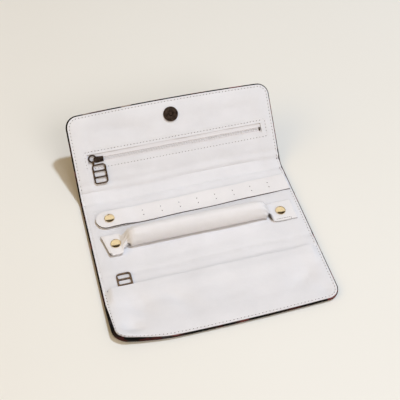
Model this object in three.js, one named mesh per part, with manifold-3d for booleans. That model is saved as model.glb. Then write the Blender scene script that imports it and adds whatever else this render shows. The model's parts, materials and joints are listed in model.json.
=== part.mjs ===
// A travel jewelry pouch lying open. Padded panels fold round a ring roll and an earring strip: the
// middle panel lies on the table, the front wall and front panel fold up over it, and the back's two
// parts stand up behind it so that the flap closes on top. Each crease is a line along the lining.
// X runs along the width, Y from the front edge to the flap, Z up. The origin is on the table, under the
// centre of the middle panel. Lengths are in millimetres and angles in degrees.
import * as THREE from 'three';
import { mergeVertices } from 'three/addons/utils/BufferGeometryUtils.js';
import Module from 'manifold-3d';

const wasm = await Module();
wasm.setup();

// Driving dimensions of the panels, measured along the lining
const pouchWidth = 195;
const middleLength = 74.1;
const frontWallLength = 22.4;
const frontPanelLength = 49.2;
const flapLength = 77.8;
const backLegHigh = 13;
const cornerRadius = 11;
const edgeBow = 1.5;

// Angles: the flap's rise at rest, and the lean of the back and the panels' slope when closed
const flapRise = 46;
const backWallLean = 66;
const closedSlope = 3;

// Layers of a panel, from the table up, with one gap between neighbours
const clothThickness = 1;
const liningThickness = 0.7;
const layerGap = 0.3;
const panelThickness = 4.6;
const rimWidth = 1;
const boardThickness = 0.5;
const bagThickness = 0.7;
const closedGap = 2.5;

// Zips
const tapeThickness = 0.5;
const flapTapeWidth = 16;
const frontTapeWidth = 7.4;
const teethThickness = 1;
const toothPitch = 2.4;
const toothHead = 0.9;
const toothNeck = 0.6;
const toothReach = 0.35;
const toothRoot = 0.75;
const teethWidth = 1.5;
const zipFromLeft = 14.5;
const zipFromRight = 11.5;
const stopLength = 1.2;
const stopReach = 1.8;
const stopThickness = 0.6;
const stopInset = 4;

// Slider, the wire of its ring and bar, and the charm
const sliderLength = 9.2;
const sliderFrontWidth = 5.8;
const sliderRearWidth = 4.6;
const sliderPlate = 0.6;
const sliderBase = 0.45;
const postLength = 1.8;
const postWidth = 1.2;
const sliderFromZipEnd = 9;
const wireDiameter = 0.8;
const archWall = 0.55;
const archInnerSpan = 3.2;
const archWidth = 1.6;
const archPlaceOnFlap = -2.1;
const ringRadius = 3.1;
const ringStretch = 1.1;
const charmWidth = 13;
const charmLength = 18.5;
const charmBar = 1.3;
const charmThickness = 1.2;
const charmCorner = 3;
const charmCellCorner = 1.2;
const charmFromSlider = 1;
const eyeWidth = 1.8;
const eyeWall = 0.45;
const eyeNeck = 2.4;
const frontCharmLength = 18.1;
const frontSliderFromZipEnd = 6.6;

// The zip window in the flap's lining, and the chain's place on the flap
const flapChainPlace = 36;
const windowBelowChain = 3.2;
const windowAboveChain = 5.5;
const windowPastZip = 1;
const flapBagNear = 16;
const flapBagEndInset = 8;

// The front pocket: its mouth and its hidden zip, measured from the lower crease of the front wall
const frontChainFromCrease = 4;
const lipWidth = 7.7;
const lipThickness = 0.7;
const lipFoot = 0.6;
const lipEndInset = 5;

// The snap that closes the pouch
const snapDiameter = 14;
const magnetProud = 2.3;
const magnetRecess = 5;
const magnetRecessDepth = 1.2;
const magnetRidge = 9.6;
const magnetGroove = 0.35;
const snapBoss = 5;
const snapFromEdge = 15;
const washerDiameter = 12;
const washerThickness = 0.5;
const plateThickness = 0.6;
const plateSink = 0.9;
const nubDiameter = 3.6;
const nubHeight = 0.8;

// The earring strip
const stripWidth = 19;
const stripThickness = 1.4;
const stripHingeFromRight = 9.35;
const stripFromLeft = 9;
const stripFromBack = 10.5;
const stripSkew = 1.3;
const stripSnapFromEnd = 12.4;
const stripRampLength = 16;
const earringPairPitch = 17.3;
const firstPairFromHinge = 12;
const earringHoleSpacing = 5.4;
const earringHole = 1.3;
const seamInset = 1.6;

// The ring roll
const rollDiameter = 17.5;
const rollFromFront = 30.2;
const rollTabFromLeft = 9.5;
const rollTabLength = 17.2;
const rollNeckLength = 7.6;
const rollFallLength = 8.5;
const rollHingeFromRight = 29;
const rollEndFromRight = 7.5;
const rollTabWidth = 23;
const rollWall = 1.25;
const rollSnapFromEnd = 11.8;
const rollCapFromHinge = 8.5;
const seamSlit = 0.3;

// Snap caps, sockets and studs
const capDiameter = 9.8;
const capHeight = 2.2;
const capRim = 0.4;
const shankDiameter = 2;
const socketDiameter = 8;
const socketHole = 3.9;
const socketThickness = 0.7;
const studBase = 0.6;
const studPost = 3.2;
const studLift = 1.9;

// One overrun for all cuts, and the steps of round shapes
const overrun = 1;
const cornerSteps = 8;
const roundSteps = 24;
const wireSteps = 8;
const smallSteps = 3;
const domeSteps = 5;
const hiddenSteps = 12;

// Sizes worked out from the driving dimensions
const rise = THREE.MathUtils.degToRad(flapRise);
const lean = THREE.MathUtils.degToRad(backWallLean);
const slope = THREE.MathUtils.degToRad(closedSlope);
const halfWidth = pouchWidth / 2;
const halfGap = layerGap / 2;
const liningBottom = panelThickness - liningThickness;
const innerFloor = clothThickness + layerGap;
const paddingTop = liningBottom - layerGap;
const boardTop = innerFloor + boardThickness;
const bagBottom = boardTop + layerGap;
const bagTop = bagBottom + bagThickness;
const tapeTop = liningBottom - layerGap;
const tapeBottom = tapeTop - tapeThickness;
const teethTop = (tapeTop + tapeBottom + teethThickness) / 2;
const teethBottom = teethTop - teethThickness;

// The lower part of the back, long enough for the closed flap to lie over the folded front panel
const closedWall = frontWallLength + (panelThickness + closedGap) / Math.cos(slope);
const backLegRise = Math.sin(lean + rise) + Math.tan(slope) * Math.cos(lean + rise);
const closedRest = closedWall - Math.tan(slope) * middleLength - backLegHigh * backLegRise;
const backLegLow = closedRest / (Math.sin(lean) + Math.tan(slope) * Math.cos(lean));

// Places measured from the bend line, positive towards the flap
const bendToOrigin = backLegLow + middleLength / 2;
const middleBack = -backLegLow;
const middleFront = middleBack - middleLength;
const wallFront = middleFront - frontWallLength;
const frontEdge = wallFront - frontPanelLength;
const frontChain = wallFront + frontChainFromCrease;
const mouthPlace = wallFront + lipWidth;
const snapFromBend = flapLength - snapFromEdge;
const windowLow = flapChainPlace - windowBelowChain;
const windowHigh = flapChainPlace + windowAboveChain;
const stripPlace = middleBack - stripFromBack;
const rollPlace = middleFront + rollFromFront;

// Places across the pouch, measured from its middle
const zipLeft = zipFromLeft - halfWidth;
const zipRight = halfWidth - zipFromRight;
const stopPlace = zipRight - stopInset;
const windowLeft = zipLeft - windowPastZip;
const windowRight = stopPlace + stopLength + windowPastZip;
const sliderPlace = zipLeft + sliderFromZipEnd;
const charmPlaceOnFlap = sliderPlace - charmFromSlider;
const frontCharmPlace = zipLeft + frontSliderFromZipEnd;
const stripHinge = halfWidth - stripHingeFromRight;
const stripLeft = stripFromLeft - halfWidth;
const rollTabLeft = rollTabFromLeft - halfWidth;
const rollTabNeck = rollTabLeft + rollTabLength;
const rollLeft = rollTabNeck + rollNeckLength;
const rollHinge = halfWidth - rollHingeFromRight;
const rollRight = rollHinge - rollFallLength;
const rollEndRight = halfWidth - rollEndFromRight;
const rollSnapPlace = rollTabLeft + rollSnapFromEnd;
const rollCapPlace = rollHinge + rollCapFromHinge;

// The snap plate lies under the magnet when the pouch is closed
const closedCrease = middleBack + backLegLow * Math.cos(lean) + backLegHigh * Math.cos(lean + rise);
const snapReach = snapFromBend - backLegHigh;
const closedSnap = closedCrease - snapReach * Math.cos(slope);
const snapPlatePlace = wallFront - (closedSnap - middleFront) / Math.cos(slope);

function finish(color, roughness, metalness = 0) {
  return new THREE.MeshStandardMaterial({ color, roughness, metalness });
}

const outerCloth = finish(0x3a2620, 0.85);
const liningCloth = finish(0xe6e0dd, 0.9);
const paddingFoam = finish(0xd8d4cc, 0.95);
const boardFibre = finish(0xc9c2b4, 0.9);
const bagCloth = finish(0xdcd6d0, 0.9);
const zipCloth = finish(0xd9cfcb, 0.85);
const zipMetal = finish(0x6b5338, 0.35, 1);
const charmMetal = finish(0x57432c, 0.35, 1);
const magnetMetal = finish(0x3a2a1e, 0.4, 1);
const capMetal = finish(0xd9b97c, 0.25, 1);

function toSolid(geometry) {
  const bare = geometry.clone();
  bare.deleteAttribute('normal');
  bare.deleteAttribute('uv');
  const merged = mergeVertices(bare, 1e-4);
  return new wasm.Manifold(new wasm.Mesh({
    numProp: 3,
    vertProperties: new Float32Array(merged.attributes.position.array),
    triVerts: new Uint32Array(merged.index.array),
  }));
}

function toGeometry(solid) {
  const mesh = solid.getMesh();
  const geometry = new THREE.BufferGeometry();
  geometry.setAttribute('position', new THREE.BufferAttribute(mesh.vertProperties, 3));
  geometry.setIndex(new THREE.BufferAttribute(mesh.triVerts, 1));
  geometry.computeVertexNormals();
  return geometry;
}

function join(...pieces) {
  return toGeometry(pieces.map(toSolid).reduce((whole, piece) => whole.add(piece)));
}

function cut(piece, ...tools) {
  return toGeometry(tools.map(toSolid).reduce((whole, tool) => whole.subtract(tool), toSolid(piece)));
}

function meet(one, other) {
  return toGeometry(toSolid(one).intersect(toSolid(other)));
}

// An outline in X and Y, raised from one height to another
function raise(shape, low, high, steps = cornerSteps) {
  const options = { depth: high - low, bevelEnabled: false, curveSegments: steps };
  return new THREE.ExtrudeGeometry(shape, options).translate(0, 0, low);
}

// An outline in Y and Z, run along X from left to right
function runAcross(shape, left, right, steps = cornerSteps) {
  const options = { depth: right - left, bevelEnabled: false, curveSegments: steps };
  const turn = new THREE.Matrix4().set(0, 0, 1, left, 1, 0, 0, 0, 0, 1, 0, 0, 0, 0, 0, 1);
  return new THREE.ExtrudeGeometry(shape, options).applyMatrix4(turn);
}

// An outline in X and Z, run along Y from near to far
function runAlong(shape, near, far, steps = cornerSteps) {
  const options = { depth: far - near, bevelEnabled: false, curveSegments: steps };
  return new THREE.ExtrudeGeometry(shape, options).rotateX(Math.PI / 2).translate(0, far, 0);
}

function rectangle(left, right, low, high, Kind = THREE.Shape) {
  const outline = new Kind();
  outline.moveTo(left, low);
  outline.lineTo(right, low);
  outline.lineTo(right, high);
  outline.lineTo(left, high);
  outline.closePath();
  return outline;
}

function roundedRectangle(left, right, low, high, radius, Kind = THREE.Shape) {
  const outline = new Kind();
  outline.moveTo(left + radius, low);
  outline.lineTo(right - radius, low);
  outline.absarc(right - radius, low + radius, radius, -Math.PI / 2, 0);
  outline.absarc(right - radius, high - radius, radius, 0, Math.PI / 2);
  outline.absarc(left + radius, high - radius, radius, Math.PI / 2, Math.PI);
  outline.absarc(left + radius, low + radius, radius, Math.PI, 1.5 * Math.PI);
  outline.closePath();
  return outline;
}

function circlePath(x, y, diameter) {
  return new THREE.Path().absarc(x, y, diameter / 2, 0, 2 * Math.PI);
}

function box(left, right, near, far, low, high) {
  return raise(rectangle(left, right, near, far), low, high);
}

// A solid of revolution about a vertical line through (x, y), from a profile of radius and height
function turned(profile, x, y, steps = roundSteps) {
  const points = profile.map(([radius, height]) => new THREE.Vector2(radius, height));
  return new THREE.LatheGeometry(points, steps).rotateX(Math.PI / 2).translate(x, y, 0);
}

// The outline of an end panel: straight at its crease, with round corners and a slightly bowed free edge.
// way is 1 for the flap and -1 for the front panel.
function endPanel(near, far, inset, way) {
  const half = halfWidth - inset;
  const end = far - inset;
  const radius = cornerRadius - inset;
  const flat = half - radius;
  const points = [new THREE.Vector2(-half, near * way), new THREE.Vector2(half, near * way)];
  for (let i = 0; i <= cornerSteps; i += 1) {
    const angle = (i / cornerSteps) * (Math.PI / 2);
    const across = flat + radius * Math.cos(angle);
    const along = end - edgeBow - radius + radius * Math.sin(angle);
    points.push(new THREE.Vector2(across, along * way));
  }
  for (let i = 1; i < roundSteps; i += 1) {
    const across = flat * (1 - (2 * i) / roundSteps);
    const along = end - edgeBow * (across / flat) ** 2;
    points.push(new THREE.Vector2(across, along * way));
  }
  for (let i = 0; i <= cornerSteps; i += 1) {
    const angle = (i / cornerSteps) * (Math.PI / 2);
    const across = flat + radius * Math.sin(angle);
    const along = end - edgeBow - radius + radius * Math.cos(angle);
    points.push(new THREE.Vector2(-across, along * way));
  }
  return new THREE.Shape(points);
}

// The outer cloth of an end panel, a shallow tray with its rim turned up round the free edges
function endPanelTray(near, far, way) {
  const slab = raise(endPanel(near, far, 0, way), 0, panelThickness);
  const inside = endPanel(near - overrun, far, rimWidth, way);
  const hollow = raise(inside, clothThickness, panelThickness + overrun);
  return cut(slab, hollow);
}

// The section of a straight panel's outer cloth, with a rim at both ends
function traySection() {
  const inner = halfWidth - rimWidth;
  const outline = new THREE.Shape();
  outline.moveTo(-halfWidth, 0);
  outline.lineTo(halfWidth, 0);
  outline.lineTo(halfWidth, panelThickness);
  outline.lineTo(inner, panelThickness);
  outline.lineTo(inner, clothThickness);
  outline.lineTo(-inner, clothThickness);
  outline.lineTo(-inner, panelThickness);
  outline.lineTo(-halfWidth, panelThickness);
  outline.closePath();
  return outline;
}

// One tape of a zip with its row of teeth. side is 1 for the far tape and -1 for the near one.
function zipHalf(chain, side, tapeWidth, teethFrom) {
  const tapeEdges = [chain + side * toothRoot, chain + (side * tapeWidth) / 2].sort((a, b) => a - b);
  const tape = box(zipLeft, zipRight, ...tapeEdges, tapeBottom, tapeTop);
  const teethTo = stopPlace - stopLength;
  const points = [];
  const first = teethFrom + (side > 0 ? 0 : toothPitch / 2);
  for (let x = first; x + toothHead < teethTo; x += toothPitch) {
    points.push(new THREE.Vector2(x - toothNeck / 2, chain + side * toothRoot));
    points.push(new THREE.Vector2(x - toothHead / 2, chain - side * toothReach));
    points.push(new THREE.Vector2(x + toothHead / 2, chain - side * toothReach));
    points.push(new THREE.Vector2(x + toothNeck / 2, chain + side * toothRoot));
  }
  points.push(new THREE.Vector2(teethTo, chain + side * toothRoot));
  points.push(new THREE.Vector2(teethTo, chain + side * teethWidth));
  points.push(new THREE.Vector2(teethFrom - toothHead, chain + side * teethWidth));
  points.push(new THREE.Vector2(teethFrom - toothHead, chain + side * toothRoot));
  return join(tape, raise(new THREE.Shape(points), teethBottom, teethTop));
}

function zipStop(x, near, far) {
  const low = tapeTop + layerGap;
  return box(x, x + stopLength, near, far, low, low + stopThickness);
}

// A zip slider: two plates joined by the post that parts the teeth, with an arch on top for the pull.
// The arch spans X or Y, about (archX, 0).
function zipSlider(x, chain, archX, spansX) {
  const half = sliderLength / 2;
  const front = sliderFrontWidth / 2;
  const rear = sliderRearWidth / 2;
  const plan = new THREE.Shape();
  plan.moveTo(half, -rear);
  plan.lineTo(half, rear);
  plan.lineTo(-half / 3, front);
  plan.quadraticCurveTo(-half, front, -half, 0);
  plan.quadraticCurveTo(-half, -front, -half / 3, -front);
  plan.closePath();
  const plateBottom = teethTop + layerGap;
  const plateTop = plateBottom + sliderPlate;
  const baseTop = teethBottom - layerGap;
  const upper = raise(plan, plateBottom, plateTop, smallSteps);
  const lower = raise(plan, baseTop - sliderBase, baseTop, smallSteps);
  const postStart = -half + sliderPlate;
  const wedge = new THREE.Shape();
  wedge.moveTo(postStart, -postWidth / 2);
  wedge.lineTo(postStart + postLength, 0);
  wedge.lineTo(postStart, postWidth / 2);
  wedge.closePath();
  const post = raise(wedge, baseTop - sliderBase / 2, plateTop - sliderPlate / 2);
  const inner = archInnerSpan / 2;
  const outer = inner + archWall;
  const tunnel = plateTop + wireDiameter + 2 * layerGap;
  const arch = new THREE.Shape();
  arch.moveTo(-outer, plateTop - sliderPlate / 2);
  arch.lineTo(-inner, plateTop - sliderPlate / 2);
  arch.lineTo(-inner, tunnel);
  arch.lineTo(inner, tunnel);
  arch.lineTo(inner, plateTop - sliderPlate / 2);
  arch.lineTo(outer, plateTop - sliderPlate / 2);
  arch.lineTo(outer, tunnel);
  arch.lineTo(inner, tunnel + archWall);
  arch.lineTo(-inner, tunnel + archWall);
  arch.lineTo(-outer, tunnel);
  arch.closePath();
  const halfArch = archWidth / 2;
  const bridge = spansX ? runAlong(arch, -halfArch, halfArch) : runAcross(arch, -halfArch, halfArch);
  return join(upper, lower, post, bridge.translate(archX, 0, 0)).translate(x, chain, 0);
}

// The height of the wire that a charm turns on, level with the slider's tunnel
const pivotHeight = teethTop + layerGap + sliderPlate + layerGap + wireDiameter / 2;

// The open frame of a charm, with two straight bars across it. It lies between two places along Y.
function charmFrame(x, low, high) {
  const half = charmWidth / 2;
  const outline = roundedRectangle(x - half, x + half, low, high, charmCorner);
  const cell = (high - low - 4 * charmBar) / 3;
  for (let i = 0; i < 3; i += 1) {
    const from = low + charmBar + i * (cell + charmBar);
    const hole = [x - half + charmBar, x + half - charmBar, from, from + cell, charmCellCorner];
    outline.holes.push(roundedRectangle(...hole, THREE.Path));
  }
  const bottom = panelThickness + layerGap;
  return raise(outline, bottom, bottom + charmThickness, smallSteps);
}

// The flap's charm hangs from a ring by an eye at its upper edge
function ringCharm(pivot, ringPlace) {
  const top = pivot - eyeNeck;
  const frame = charmFrame(charmPlaceOnFlap, top - charmLength, top);
  const inner = wireDiameter / 2 + layerGap;
  const outer = inner + eyeWall;
  const ring = new THREE.Shape().absarc(pivot, pivotHeight, outer, 0, 2 * Math.PI);
  ring.holes.push(circlePath(pivot, pivotHeight, 2 * inner));
  const left = ringPlace - eyeWidth / 2;
  const right = ringPlace + eyeWidth / 2;
  const eye = runAcross(ring, left, right);
  const bottom = panelThickness + layerGap;
  const neckFar = pivot - (inner + outer) / 2;
  const neck = box(left, right, top - charmBar / 2, neckFar, bottom, bottom + charmThickness);
  return join(frame, eye, neck);
}

// The front charm turns on a round bar that runs through the slider's arch
function barCharm(pivot) {
  const half = charmWidth / 2;
  const far = pivot + frontCharmLength;
  const low = pivot - wireDiameter / 2;
  const frame = charmFrame(frontCharmPlace, low, far);
  const away = box(
    frontCharmPlace - half + charmBar,
    frontCharmPlace + half - charmBar,
    low - overrun,
    low + charmBar + wireDiameter,
    0,
    2 * pivotHeight,
  );
  const bar = new THREE.Shape().absarc(pivot, pivotHeight, wireDiameter / 2, 0, 2 * Math.PI);
  const inside = half - charmBar / 2;
  return join(cut(frame, away), runAcross(bar, frontCharmPlace - inside, frontCharmPlace + inside));
}

// A closed skin through rings of points, with a fan over each end
function loft(rings) {
  const count = rings[0].length;
  const points = rings.flat();
  const faces = [];
  for (let i = 0; i + 1 < rings.length; i += 1) {
    for (let j = 0; j < count; j += 1) {
      const next = (j + 1) % count;
      faces.push(i * count + j, i * count + next, (i + 1) * count + next);
      faces.push(i * count + j, (i + 1) * count + next, (i + 1) * count + j);
    }
  }
  const last = (rings.length - 1) * count;
  for (let j = 1; j + 1 < count; j += 1) {
    faces.push(0, j + 1, j);
    faces.push(last, last + j, last + j + 1);
  }
  const geometry = new THREE.BufferGeometry().setFromPoints(points);
  geometry.setIndex(faces);
  geometry.computeVertexNormals();
  return geometry;
}

// One ring of the roll's skin: an oval whose corners grow square as squareness falls to zero
function ovalRing(x, middle, halfAcross, halfHigh, squareness) {
  const points = [];
  for (let i = 0; i < roundSteps; i += 1) {
    const angle = ((i + 0.5) / roundSteps) * 2 * Math.PI;
    const across = Math.sign(Math.cos(angle)) * Math.abs(Math.cos(angle)) ** squareness;
    const high = Math.sign(Math.sin(angle)) * Math.abs(Math.sin(angle)) ** squareness;
    points.push(new THREE.Vector3(x, rollPlace + halfAcross * across, middle + halfHigh * high));
  }
  return points;
}

// The roll's cover runs from the flat tab at its snap, through a gathered neck, to the round roll,
// and down to the crease at its sewn end
function rollCover() {
  const radius = rollDiameter / 2;
  const axis = panelThickness + layerGap + radius;
  const halfTab = rollTabWidth / 2;
  const halfThick = stripThickness / 2;
  const tabMiddle = panelThickness + layerGap + studLift + halfThick;
  const endMiddle = panelThickness + layerGap + halfThick;
  const neck = rollLeft - rollTabNeck;
  const fall = rollHinge - halfGap - rollRight;
  const flatShare = 0.25;
  const neckShares = [[0.25, 0.62, 0.3, 0.2], [0.5, 0.78, 0.7, 0.6], [0.75, 0.93, 0.92, 0.9]];
  const fallShares = [[0.35, 0.92, 0.9, 0.95], [0.65, 0.8, 0.6, 0.6], [0.85, 0.78, 0.32, 0.28]];
  const rings = [
    ovalRing(rollTabLeft, tabMiddle, halfTab, halfThick, flatShare),
    ovalRing(rollTabNeck, tabMiddle, halfTab, halfThick, flatShare),
  ];
  for (const [place, across, high, lift] of neckShares) {
    const middle = tabMiddle + (axis - tabMiddle) * lift;
    rings.push(ovalRing(rollTabNeck + neck * place, middle, radius * across, radius * high, 1));
  }
  rings.push(ovalRing(rollLeft, axis, radius, radius, 1));
  rings.push(ovalRing(rollRight, axis, radius, radius, 1));
  for (const [place, across, high, lift] of fallShares) {
    const middle = endMiddle + (axis - endMiddle) * lift;
    rings.push(ovalRing(rollRight + fall * place, middle, radius * across, radius * high, 1));
  }
  rings.push(ovalRing(rollHinge - halfGap, endMiddle, radius * fallShares[1][1], halfThick, flatShare));
  const slit = box(
    rollLeft + rollWall,
    rollRight - rollWall,
    rollPlace - seamSlit / 2,
    rollPlace + seamSlit / 2,
    panelThickness,
    axis,
  );
  const bore = shankDiameter / 2 + layerGap;
  const hole = turned([[0, 0], [bore, 0], [bore, axis], [0, axis]], rollSnapPlace, rollPlace);
  return cut(loft(rings), rollFilling(rollWall), slit, hole);
}

// The filling, or the hollow for it, a given distance inside the cover
function rollFilling(inset) {
  const radius = rollDiameter / 2 - inset;
  const axis = panelThickness + layerGap + rollDiameter / 2;
  const length = rollRight - rollLeft - 2 * inset;
  const endShares = [[0, 0.75], [0.02, 1], [0.98, 1], [1, 0.75]];
  const rings = endShares.map(([place, size]) => (
    ovalRing(rollLeft + inset + length * place, axis, radius * size, radius * size, 1)));
  return loft(rings);
}

// The strip seen from above, with a round free end, earring holes in pairs and a hole for the snap
function stripPlan(length) {
  const half = stripWidth / 2;
  const outline = new THREE.Shape();
  outline.moveTo(0, -half);
  outline.lineTo(0, half);
  outline.lineTo(half - length, half);
  outline.absarc(half - length, 0, half, Math.PI / 2, 1.5 * Math.PI);
  outline.closePath();
  outline.holes.push(circlePath(stripSnapFromEnd - length, 0, shankDiameter + 2 * layerGap));
  const lastPair = 2 * stripSnapFromEnd + stripRampLength - length;
  for (let x = -firstPairFromHinge; x > lastPair; x -= earringPairPitch) {
    outline.holes.push(circlePath(x, earringHoleSpacing / 2, earringHole));
    outline.holes.push(circlePath(x, -earringHoleSpacing / 2, earringHole));
  }
  return outline;
}

// The strip seen from the side, climbing over its snap
function stripSide(length) {
  const foot = 2 * stripSnapFromEnd + stripRampLength - length;
  const ramp = [];
  for (let i = 0; i <= cornerSteps; i += 1) {
    const share = i / cornerSteps;
    const climb = THREE.MathUtils.smoothstep(share, 0, 1);
    ramp.push(new THREE.Vector2(foot - share * stripRampLength, climb * studLift));
  }
  const low = [new THREE.Vector2(0, 0), ...ramp, new THREE.Vector2(-length, studLift)];
  const thickness = new THREE.Vector2(0, stripThickness);
  const high = low.map((point) => point.clone().add(thickness)).reverse();
  return new THREE.Shape([...low, ...high]);
}

function earringStrip() {
  const length = stripHinge - halfGap - stripLeft;
  const side = runAlong(stripSide(length), -stripWidth, stripWidth);
  return meet(side, raise(stripPlan(length), -overrun, studLift + stripThickness + overrun, smallSteps));
}

function domeCap(x, y, base, shankTo) {
  const radius = capDiameter / 2;
  const profile = [[0, shankTo], [shankDiameter / 2, shankTo], [shankDiameter / 2, base], [radius, base]];
  for (let i = 0; i <= domeSteps; i += 1) {
    const angle = (i / domeSteps) * (Math.PI / 2);
    const height = base + capRim + (capHeight - capRim) * Math.sin(angle);
    profile.push([i === domeSteps ? 0 : radius * Math.cos(angle), height]);
  }
  return turned(profile, x, y);
}

function snapSocket(x, y, top) {
  const outer = socketDiameter / 2;
  const inner = socketHole / 2;
  const low = top - socketThickness;
  const profile = [[inner, low], [outer, low], [outer, top], [inner, top], [inner, low]];
  return turned(profile, x, y, hiddenSteps);
}

function snapStud(x, y, base, top) {
  const foot = socketDiameter / 2;
  const post = studPost / 2;
  const shoulder = base + studBase;
  const profile = [[0, base], [foot, base], [foot, shoulder], [post, shoulder], [post, top], [0, top]];
  return turned(profile, x, y, hiddenSteps);
}

function rivetBack(x, y) {
  const top = paddingTop;
  const hole = shankDiameter / 2 + layerGap;
  const outer = socketDiameter / 2;
  const low = top - washerThickness;
  const profile = [[hole, low], [outer, low], [outer, top], [hole, top], [hole, low]];
  return turned(profile, x, y, hiddenSteps);
}

function magnetHalf(y) {
  const base = panelThickness + layerGap;
  const top = panelThickness + magnetProud;
  const outer = snapDiameter / 2;
  const ridge = magnetRidge / 2;
  const recess = magnetRecess / 2;
  const boss = snapBoss / 2;
  return turned([
    [0, tapeBottom],
    [boss, tapeBottom],
    [boss, base],
    [outer, base],
    [outer, top - 2 * magnetGroove],
    [outer - 2 * magnetGroove, top - magnetGroove],
    [ridge + magnetGroove, top - magnetGroove],
    [ridge, top],
    [recess, top],
    [recess, top - magnetRecessDepth],
    [0, top - magnetRecessDepth],
  ], 0, y);
}

function washer(y, low, bore) {
  const outer = washerDiameter / 2;
  const high = low + washerThickness;
  const profile = [[bore, low], [outer, low], [outer, high], [bore, high], [bore, low]];
  return turned(profile, 0, y, hiddenSteps);
}

// The snap's plate lies sunk in the outside of the front panel, its nub facing away from the lining
function snapPlate(y) {
  const outer = snapDiameter / 2;
  const nub = nubDiameter / 2;
  const boss = snapBoss / 2;
  const back = plateSink + plateThickness;
  const bossTop = back + layerGap + washerThickness;
  return turned([
    [0, plateSink - nubHeight],
    [nub, plateSink - nubHeight],
    [nub, plateSink],
    [outer, plateSink],
    [outer, back],
    [boss, back],
    [boss, bossTop],
    [0, bossTop],
  ], 0, y);
}

function named(name, geometry, material) {
  const mesh = new THREE.Mesh(geometry, material);
  mesh.name = name;
  return mesh;
}

function group(...pieces) {
  return new THREE.Group().add(...pieces);
}

const layerInset = rimWidth + layerGap;
const innerHalf = halfWidth - layerInset;

function middlePanel() {
  const far = middleBack - halfGap;
  const near = middleFront + halfGap;
  const padding = rectangle(-innerHalf, innerHalf, near, far);
  padding.holes.push(circlePath(rollCapPlace, rollPlace, socketDiameter + 2 * layerGap));
  const lining = rectangle(-innerHalf, innerHalf, near, far);
  lining.holes.push(circlePath(rollCapPlace, rollPlace, shankDiameter + 2 * layerGap));
  return group(
    named('middle_outer', runAlong(traySection(), near, far), outerCloth),
    named('middle_padding', raise(padding, innerFloor, paddingTop), paddingFoam),
    named('middle_lining', raise(lining, liningBottom, panelThickness), liningCloth),
  );
}

// A straight panel of three layers that runs from one crease to the next
function foldPanel(name, near, far) {
  const from = near + halfGap;
  const to = far - halfGap;
  return [
    named(`${name}_outer`, runAlong(traySection(), from, to), outerCloth),
    named(`${name}_padding`, box(-innerHalf, innerHalf, from, to, innerFloor, paddingTop), paddingFoam),
    named(`${name}_lining`, box(-innerHalf, innerHalf, from, to, liningBottom, panelThickness), liningCloth),
  ];
}

function flap() {
  const near = backLegHigh + halfGap;
  const lining = endPanel(near, flapLength, layerInset, 1);
  lining.holes.push(rectangle(windowLeft, windowRight, windowLow, windowHigh, THREE.Path));
  lining.holes.push(circlePath(0, snapFromBend, snapBoss + 2 * layerGap));
  const bag = rectangle(
    -innerHalf + flapBagEndInset,
    innerHalf - flapBagEndInset,
    flapBagNear,
    flapLength - flapBagEndInset,
  );
  bag.holes.push(rectangle(windowLeft, windowRight, windowLow - layerGap, windowHigh, THREE.Path));
  const chain = flapChainPlace;
  const teethFrom = sliderPlace - toothHead;
  const stopAt = stopPlace;
  const ringPlace = sliderPlace + archPlaceOnFlap - ringRadius * ringStretch;
  const pivot = windowLow + layerGap + wireDiameter / 2 + layerGap + eyeWall;
  const ring = new THREE.TorusGeometry(ringRadius, wireDiameter / 2, wireSteps, roundSteps);
  ring.scale(ringStretch, 1, 1).translate(ringPlace, pivot + ringRadius, pivotHeight);
  const topStops = zipLeft + stopLength / 2;
  const panel = group(
    ...foldPanel('back_high', 0, backLegHigh),
    named('flap_outer', endPanelTray(near, flapLength, 1), outerCloth),
    named('flap_board', raise(endPanel(near, flapLength, layerInset, 1), innerFloor, boardTop), boardFibre),
    named('flap_pocket_bag', raise(bag, bagBottom, bagTop), bagCloth),
    named('flap_lining', raise(lining, liningBottom, panelThickness), liningCloth),
    named('flap_zip_tape_far', zipHalf(chain, 1, flapTapeWidth, teethFrom), zipCloth),
    named('flap_zip_tape_near', zipHalf(chain, -1, flapTapeWidth, teethFrom), zipCloth),
    named('flap_zip_bottom_stop', zipStop(stopAt, chain - stopReach, chain + stopReach), zipMetal),
    named('flap_zip_top_stop_far', zipStop(topStops, chain + toothRoot, chain + stopReach), zipMetal),
    named('flap_zip_top_stop_near', zipStop(topStops, chain - stopReach, chain - toothRoot), zipMetal),
    named('snap_magnet', magnetHalf(snapFromBend), magnetMetal),
    named('snap_magnet_washer', washer(snapFromBend, tapeBottom, snapBoss / 2 + layerGap), zipMetal),
    named('flap_zip_slider', zipSlider(sliderPlace, chain, archPlaceOnFlap, true), zipMetal),
    named('flap_pull_ring', ring, charmMetal),
    named('flap_pull_charm', ringCharm(pivot, ringPlace), charmMetal),
  );
  panel.position.z = -panelThickness;
  const tilted = group(panel);
  tilted.position.z = panelThickness;
  tilted.rotation.x = rise;
  return tilted;
}

// The lip stands on the wall's front edge and lies raised over the hidden zip
function pocketLip() {
  const clear = pivotHeight + wireDiameter / 2 + layerGap + archWall + layerGap;
  const top = clear + lipThickness;
  const foot = wallFront + halfGap;
  const lip = new THREE.Shape();
  lip.moveTo(foot, liningBottom);
  lip.lineTo(foot + lipFoot, liningBottom);
  lip.lineTo(foot + lipFoot, panelThickness);
  lip.lineTo(foot + lipFoot + layerGap, clear);
  lip.lineTo(mouthPlace, clear);
  lip.lineTo(mouthPlace, top);
  lip.lineTo(foot + lipFoot, top);
  lip.lineTo(foot, panelThickness);
  lip.closePath();
  return runAcross(lip, -halfWidth + lipEndInset, innerHalf);
}

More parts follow.
